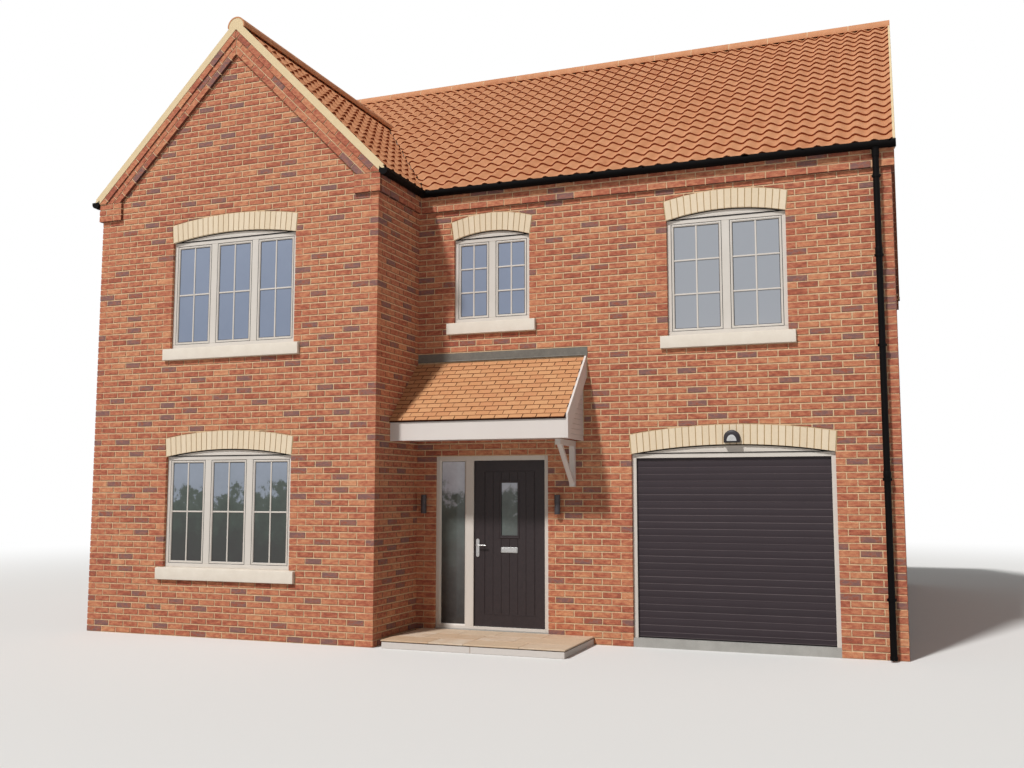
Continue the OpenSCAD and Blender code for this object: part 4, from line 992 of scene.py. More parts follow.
# Door set: frame members with the stop that the leaf closes against, and the side light
entry = dict(doorSet, low=0.1, clearLeft=4.775, clearRight=5.710, top=2.130, sill=0.135,
             jamb=0.045, mullion=0.09, lip=0.012, stop=-0.055, lap=0.002, round=0.003)
sideOutside = [(0.0, -0.037), (0.004, -0.037), (0.011, -0.041), (0.013, -0.044),
               (0.020, -0.056), (0.020, -0.0575), (0.0, -0.0575)]
sideInside = [(0.0, -0.0825), (0.020, -0.0825), (0.012, -0.1), (0.0, -0.104)]
sideSeal = [(0.0195, -0.0556), (0.0232, -0.0562), (0.024, -0.0578), (0.0195, -0.0578)]
e = entry
jambRight, sideRight = e["left"] + e["jamb"], e["clearLeft"] - e["mullion"]
lipLeft, lipRight = e["clearLeft"] + e["lip"], e["clearRight"] - e["lip"]
frames, seals, metal = Pile(), Pile(), Pile()
addMembers(frames, mainFace,
           [(e["left"], e["low"], jambRight, e["head"]),
            (sideRight, e["sill"], e["clearLeft"], e["top"]),
            (e["clearRight"], e["low"], e["right"], e["head"]),
            (jambRight, e["top"], e["clearRight"], e["head"]),
            (jambRight, e["low"], e["clearRight"], e["sill"])], frameDepths, e["round"])
addMembers(frames, mainFace,
           [(e["clearLeft"] - e["lap"], e["sill"], lipLeft, e["top"]),
            (lipRight, e["sill"], e["clearRight"] + e["lap"], e["top"]),
            (lipLeft, e["top"] - e["lip"], lipRight, e["top"] + e["lap"])],
           (e["stop"], window["face"]), 0.002)
sideBox = (jambRight, e["sill"], sideRight, e["top"])
addFrame(frames, mainFace, sideBox, sideOutside)
addFrame(frames, mainFace, sideBox, sideInside)
addFrame(seals, mainFace, sideBox, sideSeal)
addMembers(metal, mainFace, [(e["clearLeft"] + 0.001, e["sill"] - 0.0005,
                              e["clearRight"] - 0.001, e["sill"] + 0.0045)], (-0.104, -0.04),
           0.001)
makePiece("entry_frame", frames, ["framePaint"], "window_plastic", stands=["door_frame"],
          closed=True)
makePiece("entry_seals", seals, ["gasket"], "window_plastic", closed=True)
makePiece("threshold_strip", metal, ["satinSteel"], "satin_steel")

# Cassette round the leaf's glass, the same on both faces, with a small ledge at its foot. Its
# profile's points are (inset, share of its height). A bead runs round the boarded field.
leafGlass = dict(left=5.139, right=5.346, low=1.208, high=1.848, width=0.026, out=-0.055,
                 leafFront=-0.062, leafBack=-0.106, inside=-0.113,
                 profile=[(0.0, 0.0), (0.0, 0.45), (0.003, 0.9), (0.006, 1.0), (0.015, 1.0),
                          (0.0175, 0.72), (0.0195, 0.72), (0.026, 0.2), (0.026, 0.0)])
field = dict(left=4.927, right=5.558, low=0.287, high=1.978, away=0.0115, width=0.0075,
             height=0.0028, round=0.0015)


def outlineRound(box, away):
    return (box["left"] - away, box["low"] - away, box["right"] + away, box["high"] + away)


g, w, r = leafGlass, field["width"], field["round"]
pile = Pile()
for skin, top in ((g["leafFront"], g["out"]), (g["leafBack"], g["inside"])):
    addFrame(pile, mainFace, outlineRound(g, g["width"]),
             [(inset, skin + (top - skin) * share) for inset, share in g["profile"]])
addBox(pile, (g["left"], g["low"] - 0.004, -0.072), (g["right"], g["low"] + 0.012, -0.0565),
       0.002, place=mainFace)
skin, top = g["leafFront"], g["leafFront"] + field["height"]
addFrame(pile, mainFace, outlineRound(field, field["away"]),
         [(0.0, skin), (0.0, (skin + top) / 2), (r, top), (w - r, top), (w, skin)])
makePiece("glass_cassette", pile, ["doorSkin"], "door_skin", body="door",
          stands=["door_glass_frame"], closed=True, smooth=35)


# Door furniture
def roundedBox(u0, z0, u1, z1, radius, steps=6):
    outline = []
    for cu, cz, start in ((u1 - radius, z0 + radius, -90), (u1 - radius, z1 - radius, 0),
                          (u0 + radius, z1 - radius, 90), (u0 + radius, z0 + radius, 180)):
        for i in range(steps + 1):
            t = math.radians(start + 90 * i / steps)
            outline.append((cu + radius * math.cos(t), cz + radius * math.sin(t)))
    return outline


def studAt(u, z, depth, outward=1):
    # where a round part stands on the leaf, with its axis square to it
    return lambda a, b, h: mainFace(u + a, z + b, depth + outward * h)


def metalPiece(name, pile, body, stands, smooth):
    makePiece(name, pile, ["satinSteel"], "satin_steel", body=body, stands=[stands], closed=True,
              smooth=smooth)


handle = dict(spindleX=4.834, z=1.098, plateLow=0.9572, plateHigh=1.1772, halfWidth=0.021,
              corner=0.0205, out=-0.054, skin=-0.062, backSkin=-0.106, backOut=-0.114,
              barFront=-0.014, barBack=-0.154, screwIn=0.016, screws=((0.0048, 0.0008),
                                                                     (0.0038, 0.0014)),
              lock=(0.0085, 0.998, 1.032, 0.0084),
              bar=((0.0, 0.0), (0.0005, 0.0058), (0.004, 0.0078), (0.02, 0.0084),
                   (0.05, 0.0082), (0.09, 0.0080), (0.112, 0.0080), (0.1225, 0.0072),
                   (0.1262, 0.005), (0.1276, 0.0)))  # the bar's radius along its length
h = handle
x = h["spindleX"]
plate = roundedBox(x - h["halfWidth"], h["plateLow"], x + h["halfWidth"], h["plateHigh"],
                   h["corner"])
half, low, high, corner = h["lock"]
lockRim = roundedBox(x - half, low, x + half, high, corner)
pile = Pile()
for near, far, outward in ((h["skin"], h["out"], 1), (h["backSkin"], h["backOut"], -1)):
    addPrism(pile, plate, mainFace, *sorted((near, far)), 0.0018)
    for z in (h["plateLow"] + h["screwIn"], h["plateHigh"] - h["screwIn"]):
        for r, top in h["screws"]:
            addLathe(pile, studAt(x, z, far, outward),
                     [(0.0, -0.001), (r, -0.001), (r, top - 0.0003), (r - 0.0005, top),
                      (0.0, top)], 16)
    addPrism(pile, lockRim, mainFace, *sorted((far - outward * 0.001, far + outward * 0.0022)),
             0.0006)
metalPiece("handle_backplates", pile, "door", "handle_plates", 30)

pile = Pile()
for bar, neck in ((h["barFront"], h["out"]), (h["barBack"], h["backOut"])):
    reach = abs(neck - bar)
    # the neck widens into a rose at the plate
    addLathe(pile, studAt(x, h["z"], bar, 1 if neck > bar else -1),
             [(0.0, -0.0088), (0.0045, -0.0085), (0.0079, -0.005), (0.0088, 0.0),
              (0.0072, 0.006), (0.0066, reach - 0.014), (0.0072, reach - 0.006),
              (0.0076, reach - 0.002), (0.0076, reach + 0.003), (0.0, reach + 0.003)], 28)
    addRings(pile, [[mainFace(x + along, h["z"] + radius * math.sin(t),
                              bar + radius * math.cos(t))
                     for t in (2 * math.pi * i / 20 for i in range(20))]
                    for along, radius in h["bar"]], loop=False, caps=True)
metalPiece("lever_bars", pile, "lever", "lever_handle", 35)

letter = dict(left=5.136, right=5.349, low=1.013, high=1.081, middle=1.047, rim=0.009,
              front=-0.054, skin=-0.062, gap=0.0015, pin=1.0685, pinDepth=-0.0555,
              pinLength=0.2036, pinRadius=0.0015)
t = letter
front, skin, rim = t["front"], t["skin"], t["rim"]
outer = roundedBox(t["left"], t["low"], t["right"], t["high"], 0.012)
inner = roundedBox(t["left"] + rim, t["low"] + rim, t["right"] - rim, t["high"] - rim, 0.004)
pile = Pile()
addRings(pile, [[mainFace(u, z, d) for u, z in outline] for outline, d in (
    (outer, skin), (outer, front - 0.0022), (shrink(outer, 0.0009), front - 0.0006),
    (shrink(outer, 0.0024), front), (shrink(inner, -0.0012), front), (inner, front - 0.0012),
    (inner, skin))])
for u in (t["left"] + rim / 2, t["right"] - rim / 2):
    addLathe(pile, studAt(u, t["middle"], front - 0.0004),
             [(0.0, -0.001), (0.003, -0.001), (0.003, 0.0002), (0.0024, 0.0004), (0.0, 0.0004)],
             14)
metalPiece("letter_surround", pile, "door", "letter_plate", 30)

pile = Pile()
inset, r, length = rim + t["gap"], t["pinRadius"], t["pinLength"]
addPrism(pile, roundedBox(t["left"] + inset, t["low"] + inset, t["right"] - inset, t["pin"],
                          0.0025, 3), mainFace, front - 0.003, front, 0.0007)
addLathe(pile, lambda a, b, along: mainFace(t["left"] + inset - 0.0058 + along, t["pin"] + b,
                                            t["pinDepth"] + a),
         [(0.0, 0.0), (r - 0.0003, 0.0), (r, 0.0004), (r, length - 0.0004), (0.0, length)], 14)
metalPiece("letter_box_flap", pile, "flap", "letter_flap", 30)
print("house: door made")

# Roller shutter: hooked slats whose lower lips are painted lighter as a highlight, a bottom rail
# and its seal
shutter = dict(left=6.791, right=8.989, low=0.1, top=2.149, slat=0.077, front=-0.065,
               back=-0.085, rail=0.062, seal=0.0145, bow=0.0016, edge=0.0022, steps=8,
               slatTone=(0.25, 0.42), lipTone=(0.75, 0.95))
s = shutter
left, right, low, back, front = (s[key] for key in ("left", "right", "low", "back", "front"))
edge = front - s["edge"]
pile, seals = Pile(), Pile()
z = low + s["rail"]
while z < s["top"] - 0.002:
    high = min(z + s["slat"], s["top"])
    tone = dice.uniform(*s["slatTone"])
    lip = [(back + 0.004, z + 0.0003), (edge, z + 0.0003), (front, z + 0.0018),
           (front, z + 0.0072), (edge, z + 0.0092), (back + 0.004, z + 0.0092)]
    slat = [(back, z + 0.009), (edge, z + 0.009)]
    slat += [(edge + s["bow"] * math.sin(math.pi * f), z + 0.009 + (high - z - 0.0092) * f)
             for f in (i / s["steps"] for i in range(1, s["steps"] + 1))]
    slat += [(back, high - 0.0002)]
    for section, shade in ((lip, dice.uniform(*s["lipTone"])), (slat, tone)):
        addRings(pile, [[across(*p, u) for p in section] for u in (left, right)], shade,
                 loop=False, caps=True)
    z += s["slat"]
addBox(pile, (left, low + 0.014, back), (right, low + s["rail"] - 0.001, front - 0.0005), 0.003,
       0.3, place=mainFace)
addBox(pile, (left, low + s["seal"], front - 0.003), (right, low + 0.022, front), 0.001, 0.9,
       place=mainFace)
addBox(seals, (left, low, back + 0.002), (right, low + s["seal"], front - 0.003), 0.002,
       place=mainFace)
makePiece("shutter_slats", pile, ["shutterPaint"], "shutter_paint", stands=["garage_shutter"],
          closed=True, smooth=40)

# its frame: jambs with a guide groove and a brush, and a head in two depths
jambs = dict(bevel=0.0018, parts=((0.05, -0.0632, -0.035), (0.0238, -0.0868, -0.0632),
                                  (0.05, -0.105, -0.0868)),
             brush=(0.047, 0.053, 2.124, -0.066, -0.0565),
             heads=((2.125, -0.0632, -0.035), (2.151, -0.105, -0.0632)))
foot, head, bevel = garage["foot"], garage["head"], jambs["bevel"]
width = jambs["parts"][0][0]
frames = Pile()
for side, edge in ((1, garage["left"]), (-1, garage["right"])):
    for reach, back, front in jambs["parts"]:
        us = sorted((edge, edge + side * reach))
        addMembers(frames, mainFace, [(us[0], foot, us[1], head)], (back, front), bevel)
    near, far, top, back, front = jambs["brush"]
    us = sorted((edge + side * near, edge + side * far))
    addMembers(seals, mainFace, [(us[0], foot, us[1], top)], (back, front), 0.001)
for low, back, front in jambs["heads"]:
    addMembers(frames, mainFace,
               [(garage["left"] + width, low, garage["right"] - width, head)], (back, front),
               bevel)
makePiece("garage_surround", frames, ["framePaint"], "window_plastic", stands=["garage_frame"])
makePiece("garage_seals", seals, ["gasket"], "shutter_paint")
print("house: garage made")

# Doorstep: kerb stones with sandstone flags on top. A row of flags has a depth and the shares
# of its flags' widths. Beds reach a little less far than the stones.
step = dict(left=4.15, right=6.30, front=-1.1, kerb=0.07, flag=0.095, over=0.008, kerbLength=0.9,
            kerbWidth=0.13, joint=0.004, bed=0.008, bevel=0.004, seed=5,
            flagRows=((0.36, (0.56, 0.40, 0.62, 0.5)), (0.37, (0.36, 0.60, 0.42, 0.7)),
                      (0.37, (0.62, 0.44, 0.56, 0.5))))
dice = random.Random(step["seed"])


def layKerb(pile, start, end, stoneBox):
    count = max(1, round((end - start) / step["kerbLength"]))
    pitch = (end - start + step["joint"]) / count
    for i in range(count):
        low, high = stoneBox(start + i * pitch, start + (i + 1) * pitch - step["joint"])
        addBox(pile, low, high, step["bevel"], dice.random())


left, right, front, kerb = (step[key] for key in ("left", "right", "front", "kerb"))
back = front + step["kerbWidth"]
pile = Pile()
layKerb(pile, left, right, lambda a, b: ((a, front, 0), (b, back, kerb)))
for u in (left, right - step["kerbWidth"]):
    layKerb(pile, back + step["joint"], 0,
            lambda a, b: ((u, a, 0), (u + step["kerbWidth"], b, kerb)))
addBox(pile, (left + 0.003, front + 0.003, 0.0), (right - 0.003, -0.0005, kerb - 0.003), 0.001,
       0.1, 1)
makePiece("kerb_stones", pile, ["kerbStone", "stoneJoint"], "kerb_stone", stands=["door_step"])

over, joint, bedTop = step["over"], step["joint"], kerb + step["bed"]
left, right, near = left - over, right + over, front - over
pile = Pile()
for depth, widths in step["flagRows"]:
    far = min(near + depth, 0)
    share = (right - left - joint * (len(widths) - 1)) / sum(widths)
    u = left
    for width in widths:
        addBox(pile, (u, near, bedTop),
               (u + width * share, far - (joint if far < 0 else 0), step["flag"]),
               step["bevel"], dice.random())
        u += width * share + joint
    near = far
addBox(pile, (left + 0.011, front + 0.003, kerb), (right - 0.011, -0.0005, step["flag"] - 0.003),
       0.001, 0.5, 1)
addBox(pile, (left + 0.010, front + 0.002, kerb), (right - 0.010, -0.001, bedTop + 0.0005),
       0.0005, 0.5, 2)  # painted shade on the bed under the flags' overhang
makePiece("sandstone_flags", pile, ["sandstone", "stoneJoint", "underlay"], "sandstone",
          stands=["step_flags"])

# Canopy: fascia, boarded soffit and cheek, bargeboard, bracket and plain tiles. Its surface
# falls by 45 degrees from the height called tiled.
canopy = dict(left=gableWide, right=6.24, out=0.745, low=2.335, fascia=2.56, tiled=3.35025,
              board=0.025, cheekIn=0.045, cheekTop=0.05, barge=0.265, foot=0.11, drip=0.02,
              tile=0.032, soffitBoard=0.1, soffitGap=0.0008, cheekBoard=0.06, cheekGap=0.0015,
              cheekLap=0.05, fit=0.0005)
c = canopy
left, right, out, low, tiled, board = (c[key] for key in ("left", "right", "out", "low",
                                                         "tiled", "board"))
bargeLeft, cheekRight, behind = right - board, right - c["cheekIn"], out - board - c["fit"]
cheekLeft = cheekRight - board
pile = Pile()
addBox(pile, (left, low, out - board), (bargeLeft, c["fascia"], out), 0.0025, place=mainFace)
count = round((cheekLeft - left) / c["soffitBoard"])
width = (cheekLeft - left) / count
for u in (left + i * width for i in range(count)):
    addBox(pile, (u + c["soffitGap"], low + 0.025, 0.0),
           (u + width - c["soffitGap"], low + 0.05, behind), 0.003, place=mainFace)
z = low
while z < tiled - 0.1:  # the cheek's boards lap each other and are cut to the slope
    top = z + c["cheekBoard"] - c["cheekGap"]
    outline = clip([(0.0, z), (behind, z), (behind, top), (0.0, top)], 1, 1,
                   tiled - c["cheekTop"])
    if len(outline) > 2 and areaOf(outline) > 2e-4:
        addPrism(pile, outline, lambda d, v, u: mainFace(u - c["cheekLap"] * (v - z), v, d),
                 cheekLeft + 0.006, cheekRight, 0.002)
    z += c["cheekBoard"]
foot = out - c["foot"]
addPrism(pile, [(0.0, tiled - c["barge"]), (foot, tiled - foot - c["barge"]), (foot, low),
                (out, low), (out, tiled - out), (0.0, tiled)],
         across, bargeLeft, right, 0.0018)
makePiece("canopy_joinery", pile, ["whitePaint"], "white_paint", stands=["canopy_boards"],
          closed=True)

bracket = dict(left=6.035, right=6.10, low=1.80, top=low, out=0.59, timber=0.065, bevel=0.004,
               inset=0.012)
b = bracket
timber, bevel, top, tip = b["timber"], b["bevel"], b["top"], b["out"] - b["inset"]
pile = Pile()
for high, start, reach in ((top - timber, b["low"], timber), (top, top - timber, b["out"])):
    addBox(pile, (b["left"], start, 0.0), (b["right"], high, reach), bevel, place=mainFace)
addPrism(pile, [(0.002, b["low"] + 0.002), (timber * 0.55, b["low"] + 0.002),
                (tip, top - 0.02), (tip - timber * 0.95, top - 0.02)],
         across, b["left"] + bevel, b["right"] - bevel, bevel)
makePiece("canopy_brace", pile, ["whitePaint"], "white_paint", stands=["canopy_bracket"],
          closed=True)

plain = dict(width=0.167, courses=14, thick=0.008, gaps=(0.0085, 0.0045), lap=0.03,
             uneven=0.0006, start=0.014, edge=0.0008, cut=0.02, under=(0.016, 0.004, 0.014),
             seed=17)
dice = random.Random(plain["seed"])
root = math.sqrt(0.5)
slopeLow, slopeLength = c["fascia"] - c["drip"], (out + c["drip"]) / root


def canopyPoint(u, s, h):
    # up the canopy's slope from its lower edge, and out of it
    return mainFace(u, slopeLow + s * root + h * root, out + c["drip"] - s * root + h * root)


pile = Pile()
start, end, high = plain["under"]
addBox(pile, (left, start, 0.0), (bargeLeft, slopeLength - end, high), 0, 0.2, 1, canopyPoint)
gauge = slopeLength / plain["courses"]
tilt = plain["thick"] / gauge
for row in range(plain["courses"]):
    u = left - (plain["width"] / 2 if row % 2 else 0)
    while u < bargeLeft - 0.01:
        near, far = max(u, left), min(u + plain["width"] - plain["gaps"][row % 2], bargeLeft)
        u += plain["width"]
        if far - near < plain["cut"]:
            continue
        s0 = row * gauge + dice.uniform(-1, 1) * plain["uneven"] if row else plain["start"]
        s1 = min((row + 1) * gauge + plain["lap"], slopeLength - 0.002)
        top = c["tile"] - plain["edge"] + dice.uniform(-1, 1) * plain["uneven"]
        # sides=2 paints the tiles' sides in the gaps' painted shade
        addBrick(pile, lambda x, y, h: canopyPoint(x, y, h - (y - s0) * tilt),
                 [(near, s0), (far, s0), (far, s1), (near, s1)], top, top - plain["thick"],
                 dice.random(), edge=plain["edge"], sides=2)
makePiece("canopy_plain_tiles", pile, ["plainTile", "underlay", "tileJoint"], "plain_tiles",
          stands=["canopy_tiles"])

# Lead over the canopy's top edge: two sheets that lap, dressed down over the top course
lead = dict(low=3.35, high=3.4455, left=gableWide, right=6.25, out=0.008, sheet=0.0016, start=5.3,
            lap=0.1, dressed=0.014)
low, high, dressed = (lead[key] for key in ("low", "high", "dressed"))
pile = Pile()
for near, far, out in ((lead["left"], lead["start"] + lead["lap"], lead["out"] - lead["sheet"]),
                       (lead["start"], lead["right"], lead["out"])):
    addPrism(pile, [(0.0, low), (dressed, low - dressed + 0.002),
                    (dressed + out * 0.7, low - dressed + out), (out, low + 0.006),
                    (out, high - 0.001), (out - 0.001, high), (0.0, high)],
             across, near, far, 0.0005)
makePiece("lead_sheets", pile, ["lead"], "lead", stands=["canopy_flashing"], closed=True)
print("house: canopy and step made")

# Clay pantiles: an S-shaped wave across the slope, each row lapping the one below
pantile = dict(width=0.1975, gauge=0.286, wave=0.042, trough=0.6, rise=0.020, base=-0.032,
               thick=0.012, front=0.024, taper=0.1, firstEdge=-0.122, lap=0.003, under=0.02,
               uneven=0.0012, lift=0.0006, tone=(0.4, 0.12), seed=23,
               steps=(0, 0.1, 0.2, 0.3, 0.4, 0.5, 0.6, 0.68, 0.76, 0.84, 0.92, 1.0))
dice = random.Random(pantile["seed"])


def waveHeight(q):
    t = pantile["trough"]
    swing = q / t if q < t else (1 - q) / (1 - t)
    return pantile["wave"] * (0.5 + 0.5 * math.cos(math.pi * swing))


def onSlope(face, pitch, eaveZ):
    # u along the eaves, s up the slope from the wall's face, h out of the roof
    cs, sn = math.cos(math.radians(pitch)), math.sin(math.radians(pitch))
    return lambda u, s, h: face(u, eaveZ + s * sn + h * cs, h * sn - s * cs)


def tileOf(left, start, end, s0, s1, lift, front):
    # one tile's polygons in the slope's directions, each with its finish: top, then lower edge and
    # sides in painted shade
    p = pantile
    fall = (s1 - s0) / p["gauge"]  # its surface and its wave both come down towards its head
    strip = []
    for q in p["steps"]:
        u, wave, flat = left + q * p["width"], waveHeight(q), p["base"] + lift - p["lap"] * q
        if start - 1e-6 <= u <= end + 1e-6:
            strip.append((u, flat + p["rise"] + wave,
                          flat + p["rise"] * (1 - fall) + wave * (1 - p["taper"] * fall)))
    polygons = []
    for (u, hu, ku), (v, hv, kv) in zip(strip, strip[1:]):
        polygons.append(([(u, s0, hu), (v, s0, hv), (v, s1, kv), (u, s1, ku)], 0))
        polygons.append(([(u, s0 + 0.002, hu - front), (v, s0 + 0.002, hv - front), (v, s0, hv),
                          (u, s0, hu)], 2))
    if polygons:
        for (u, hu, ku), turn in ((strip[0], 1), (strip[-1], -1)):
            side = [(u, s0, hu), (u, s1, ku), (u, s1, ku - p["thick"]), (u, s0, hu - p["thick"])]
            polygons.append((side[::turn], 2))
    return polygons


def layPantiles(pile, slope, start, end, crest, length, cut=None):
    # crest is a tile's edge; cut keeps a*x + b*y <= c of a slope that ends in a valley
    p = pantile
    first = math.floor((start - crest) / p["width"])
    last = math.ceil((end - crest) / p["width"])
    for row in range(math.ceil((length - p["firstEdge"]) / p["gauge"])):
        for k in range(first, last):
            tone = min(1.0, max(0.0, dice.gauss(*p["tone"])))
            s0 = (p["firstEdge"] + row * p["gauge"]
                  + (dice.uniform(-1, 1) * p["uneven"] if row else 0))
            s1 = min(p["firstEdge"] + (row + 1) * p["gauge"] + p["under"], length)
            if s1 - s0 < 0.02:
                continue
            for points, paint in tileOf(crest + k * p["width"], start, end, s0, s1,
                                        dice.uniform(-p["lift"], p["lift"]),
                                        p["front"] if row else p["thick"]):
                polygon = [slope(*point) for point in points]
                if cut and max(cut[0] * x + cut[1] * y for x, y, z in polygon) > cut[2]:
                    polygon = clip(polygon, *cut)
                if len(polygon) > 2:
                    pile.add(polygon, [list(range(len(polygon)))], tone, paint)


def layDeck(pile, plan, heightAt, cosine, thin=False):
    # felt under the tiles; its plan is convex, and past the walls' bands it is thinner
    drop = deck["top"] / cosine
    low = drop + (deck["thin"] if thin else house["roofDepth"] - drop)
    addRings(pile, [[(x, y, heightAt(x, y) - d) for x, y in plan] for d in (low, drop)], 0.5, 1,
             loop=False, caps=True)


def mainHeight(x, y):
    return house["eavesZ"] + min(y, deep - y) * mainTan


def gableHeight(x, y):
    return house["gableRidgeZ"] - abs(x - gableX)


def roofPiece(name, pile, node):
    makePiece(name, pile, ["clayTile", "underlay", "tileEdge"], "clay_tiles", stands=[node],
              smooth=40)


# The verges pass the walls by 45 mm and the eaves by 100 mm. The felt is thick as far as the
# walls' bands reach, and the thin part laps it by 1 mm. The valleys' lines in plan are
# x + mainTan*y = rightValley and mainTan*y - x = leftValley; bare is the gap between them and
# the tiles, and the other values are where parts of the felt meet them.
deck = dict(top=0.040, thin=0.004, thick=0.035, lap=0.001, eaves=0.1)
valley = dict(bare=0.012, meetY=2.942, eavesX=(4.104, 4.15), thinY=(0.0085, -0.0857),
              vergeY=-0.0071)
verge = dict(out=0.045, over=0.0035, firstTile=0.033, firstGableTile=0.012, behind=3.0)
mainLength, gableLength = middleY / mainCos, gableX / gableCos
over, vergeLeft, vergeRight = verge["over"], -verge["out"], wide + verge["out"]
vergeFront, behind = -forward - verge["out"], verge["behind"]
climb = house["gableRidgeZ"] - house["eavesZ"]
rightValley, leftValley = gableX + climb, climb - gableX
bare = valley["bare"] * math.hypot(1, mainTan)
crest = wide + verge["firstTile"]
frontSlope = onSlope(mainFace, house["pitch"], house["eavesZ"])
rearSlope = onSlope(rearFace, house["pitch"], house["eavesZ"])
gableEavesZ = house["gableRidgeZ"] - gableX
rightSlope = onSlope(facing(gableWide, 0, (0, 1), (1, 0)), house["gablePitch"], gableEavesZ)
leftSlope = onSlope(facing(0, 0, (0, -1), (-1, 0)), house["gablePitch"], gableEavesZ)
thick, eaves, thin = deck["thick"], deck["eaves"], deck["thick"] - deck["lap"]
meet, middle = (gableX, valley["meetY"]), (gableX, middleY)

pile = Pile()
seam = crest - 39 * pantile["width"]  # the tile edge nearest to the gable's middle
layPantiles(pile, frontSlope, seam, vergeRight + over, crest, mainLength,
            (-1, -mainTan, -rightValley - bare))
layPantiles(pile, frontSlope, vergeLeft - over, seam, crest, mainLength,
            (1, -mainTan, -leftValley - bare))
near, far = valley["eavesX"]
layDeck(pile, [(rightValley + thick * mainTan, -thick), (vergeRight, -thick),
               (vergeRight, middleY), middle, meet], mainHeight, mainCos)
layDeck(pile, [(far, -eaves), (vergeRight, -eaves), (vergeRight, -thin), (near, -thin)],
        mainHeight, mainCos, True)
layDeck(pile, [(vergeLeft, valley["vergeY"]), meet, middle, (vergeLeft, middleY)], mainHeight,
        mainCos)
roofPiece("front_pantiles", pile, "main_roof_front")

pile = Pile()
layPantiles(pile, rearSlope, vergeLeft - over, vergeRight + over, crest, mainLength)
for near, far, isThin in ((middleY, deep + thick, False), (deep + thin, deep + eaves, True)):
    layDeck(pile, [(vergeLeft, near), (vergeRight, near), (vergeRight, far), (vergeLeft, far)],
            mainHeight, mainCos, isThin)
roofPiece("rear_pantiles", pile, "main_roof_rear")

near, far = valley["thinY"]
footY = (rightValley - gableWide - thick) / mainTan
pile = Pile()
layPantiles(pile, rightSlope, vergeFront - over, behind, vergeFront + verge["firstGableTile"],
            gableLength, (1, mainTan, rightValley - bare))
layDeck(pile, [(gableX, vergeFront), (gableWide + thick, vergeFront),
               (gableWide + thick, footY), meet], gableHeight, gableCos)
layDeck(pile, [(gableWide + thin, vergeFront), (gableWide + eaves, vergeFront),
               (gableWide + eaves, far), (gableWide + thin, near)], gableHeight, gableCos, True)
roofPiece("gable_right_pantiles", pile, "gable_roof_right")

pile = Pile()
layPantiles(pile, leftSlope, -behind, over - vergeFront, -vergeFront - verge["firstGableTile"],
            gableLength, (-1, mainTan, leftValley - bare))
layDeck(pile, [(gableX, vergeFront), meet, (-thick, footY), (-thick, vergeFront)], gableHeight,
        gableCos)
layDeck(pile, [(-thin, vergeFront), (-thin, near), (-eaves, far), (-eaves, vergeFront)],
        gableHeight, gableCos, True)
roofPiece("gable_left_pantiles", pile, "gable_roof_left")
print("house: pantiles laid")

# Ridge tiles: half rounds on mortar, with pale pointed joints and filled ends
ridge = dict(radius=0.125, thick=0.018, length=0.612, joint=0.009, low=-6, rise=0.062, steps=20,
             edge=0.0015, tone=(0.25, 0.12), toneTop=0.8, plug=0.008, plugsIn=(0.004, 0.012))


def layRidge(pile, place, start, end):
    # place(along, across, up), from the roof surfaces' meeting line
    r, joint, edge = ridge["radius"], ridge["joint"], ridge["edge"]
    hollow, centre = r - ridge["thick"], ridge["rise"] - r
    count = round((end - start) / ridge["length"])
    pitch = (end - start + joint) / count
    angles = [math.radians(ridge["low"] + (180 - 2 * ridge["low"]) * i / ridge["steps"])
              for i in range(ridge["steps"] + 1)]

    def arc(along, radius):
        return [place(along, radius * math.cos(t), centre + radius * math.sin(t)) for t in angles]

    def shell(a, b, radius, tone, paint):
        rings = [arc(along, radius - rim) + arc(along, hollow + rim)[::-1]
                 for along, rim in ((a, edge), (a + edge, 0), (b - edge, 0), (b, edge))]
        addRings(pile, rings, tone, paint, loop=False, caps=True)

    for i in range(count):
        a = start + i * pitch
        b = a + pitch - joint
        shell(a, b, r, min(ridge["toneTop"], max(0.0, dice.gauss(*ridge["tone"]))), 0)
        if i < count - 1:
            shell(b - 0.001, b + joint + 0.001, r - 0.002, 0.5, 1)
    for a in (start + ridge["plugsIn"][0], end - ridge["plugsIn"][1]):  # mortar at the ends
        addRings(pile, [arc(along, hollow + 0.001) for along in (a, a + ridge["plug"])], 0.5, 1,
                 loop=False, caps=True)


pile = Pile()
layRidge(pile, lambda along, side, up: (along, middleY - side, mainRidgeZ + up),
         vergeLeft - 0.015, vergeRight + 0.015)
layRidge(pile, lambda along, side, up: (gableX + side, along, house["gableRidgeZ"] + up),
         vergeFront - 0.015, 3.02)
makePiece("half_round_ridges", pile, ["clayTile", "roofMortar"], "clay_tiles",
          stands=["ridge_tiles"], closed=True, smooth=40)

# Bedding mortar under the ridge tiles, set back and coloured with painted shade
pile = Pile()
for place, start, end, drop in (
        (lambda v, w, u: (u, middleY + v, mainRidgeZ + w), vergeLeft - 0.005,
         vergeRight + 0.005, 0.7),
        (lambda v, w, u: (gableX + v, u, house["gableRidgeZ"] + w), vergeFront - 0.005,
         behind, 1.0)):
    low = -0.095 * drop - 0.05
    addPrism(pile, [(-0.095, low), (0.095, low), (0.085, 0.0), (0.03, 0.04), (-0.03, 0.04),
                    (-0.085, 0.0)], place, start, end, 0.004)
makePiece("ridge_bedding", pile, ["underlay"], "mortar", closed=True)

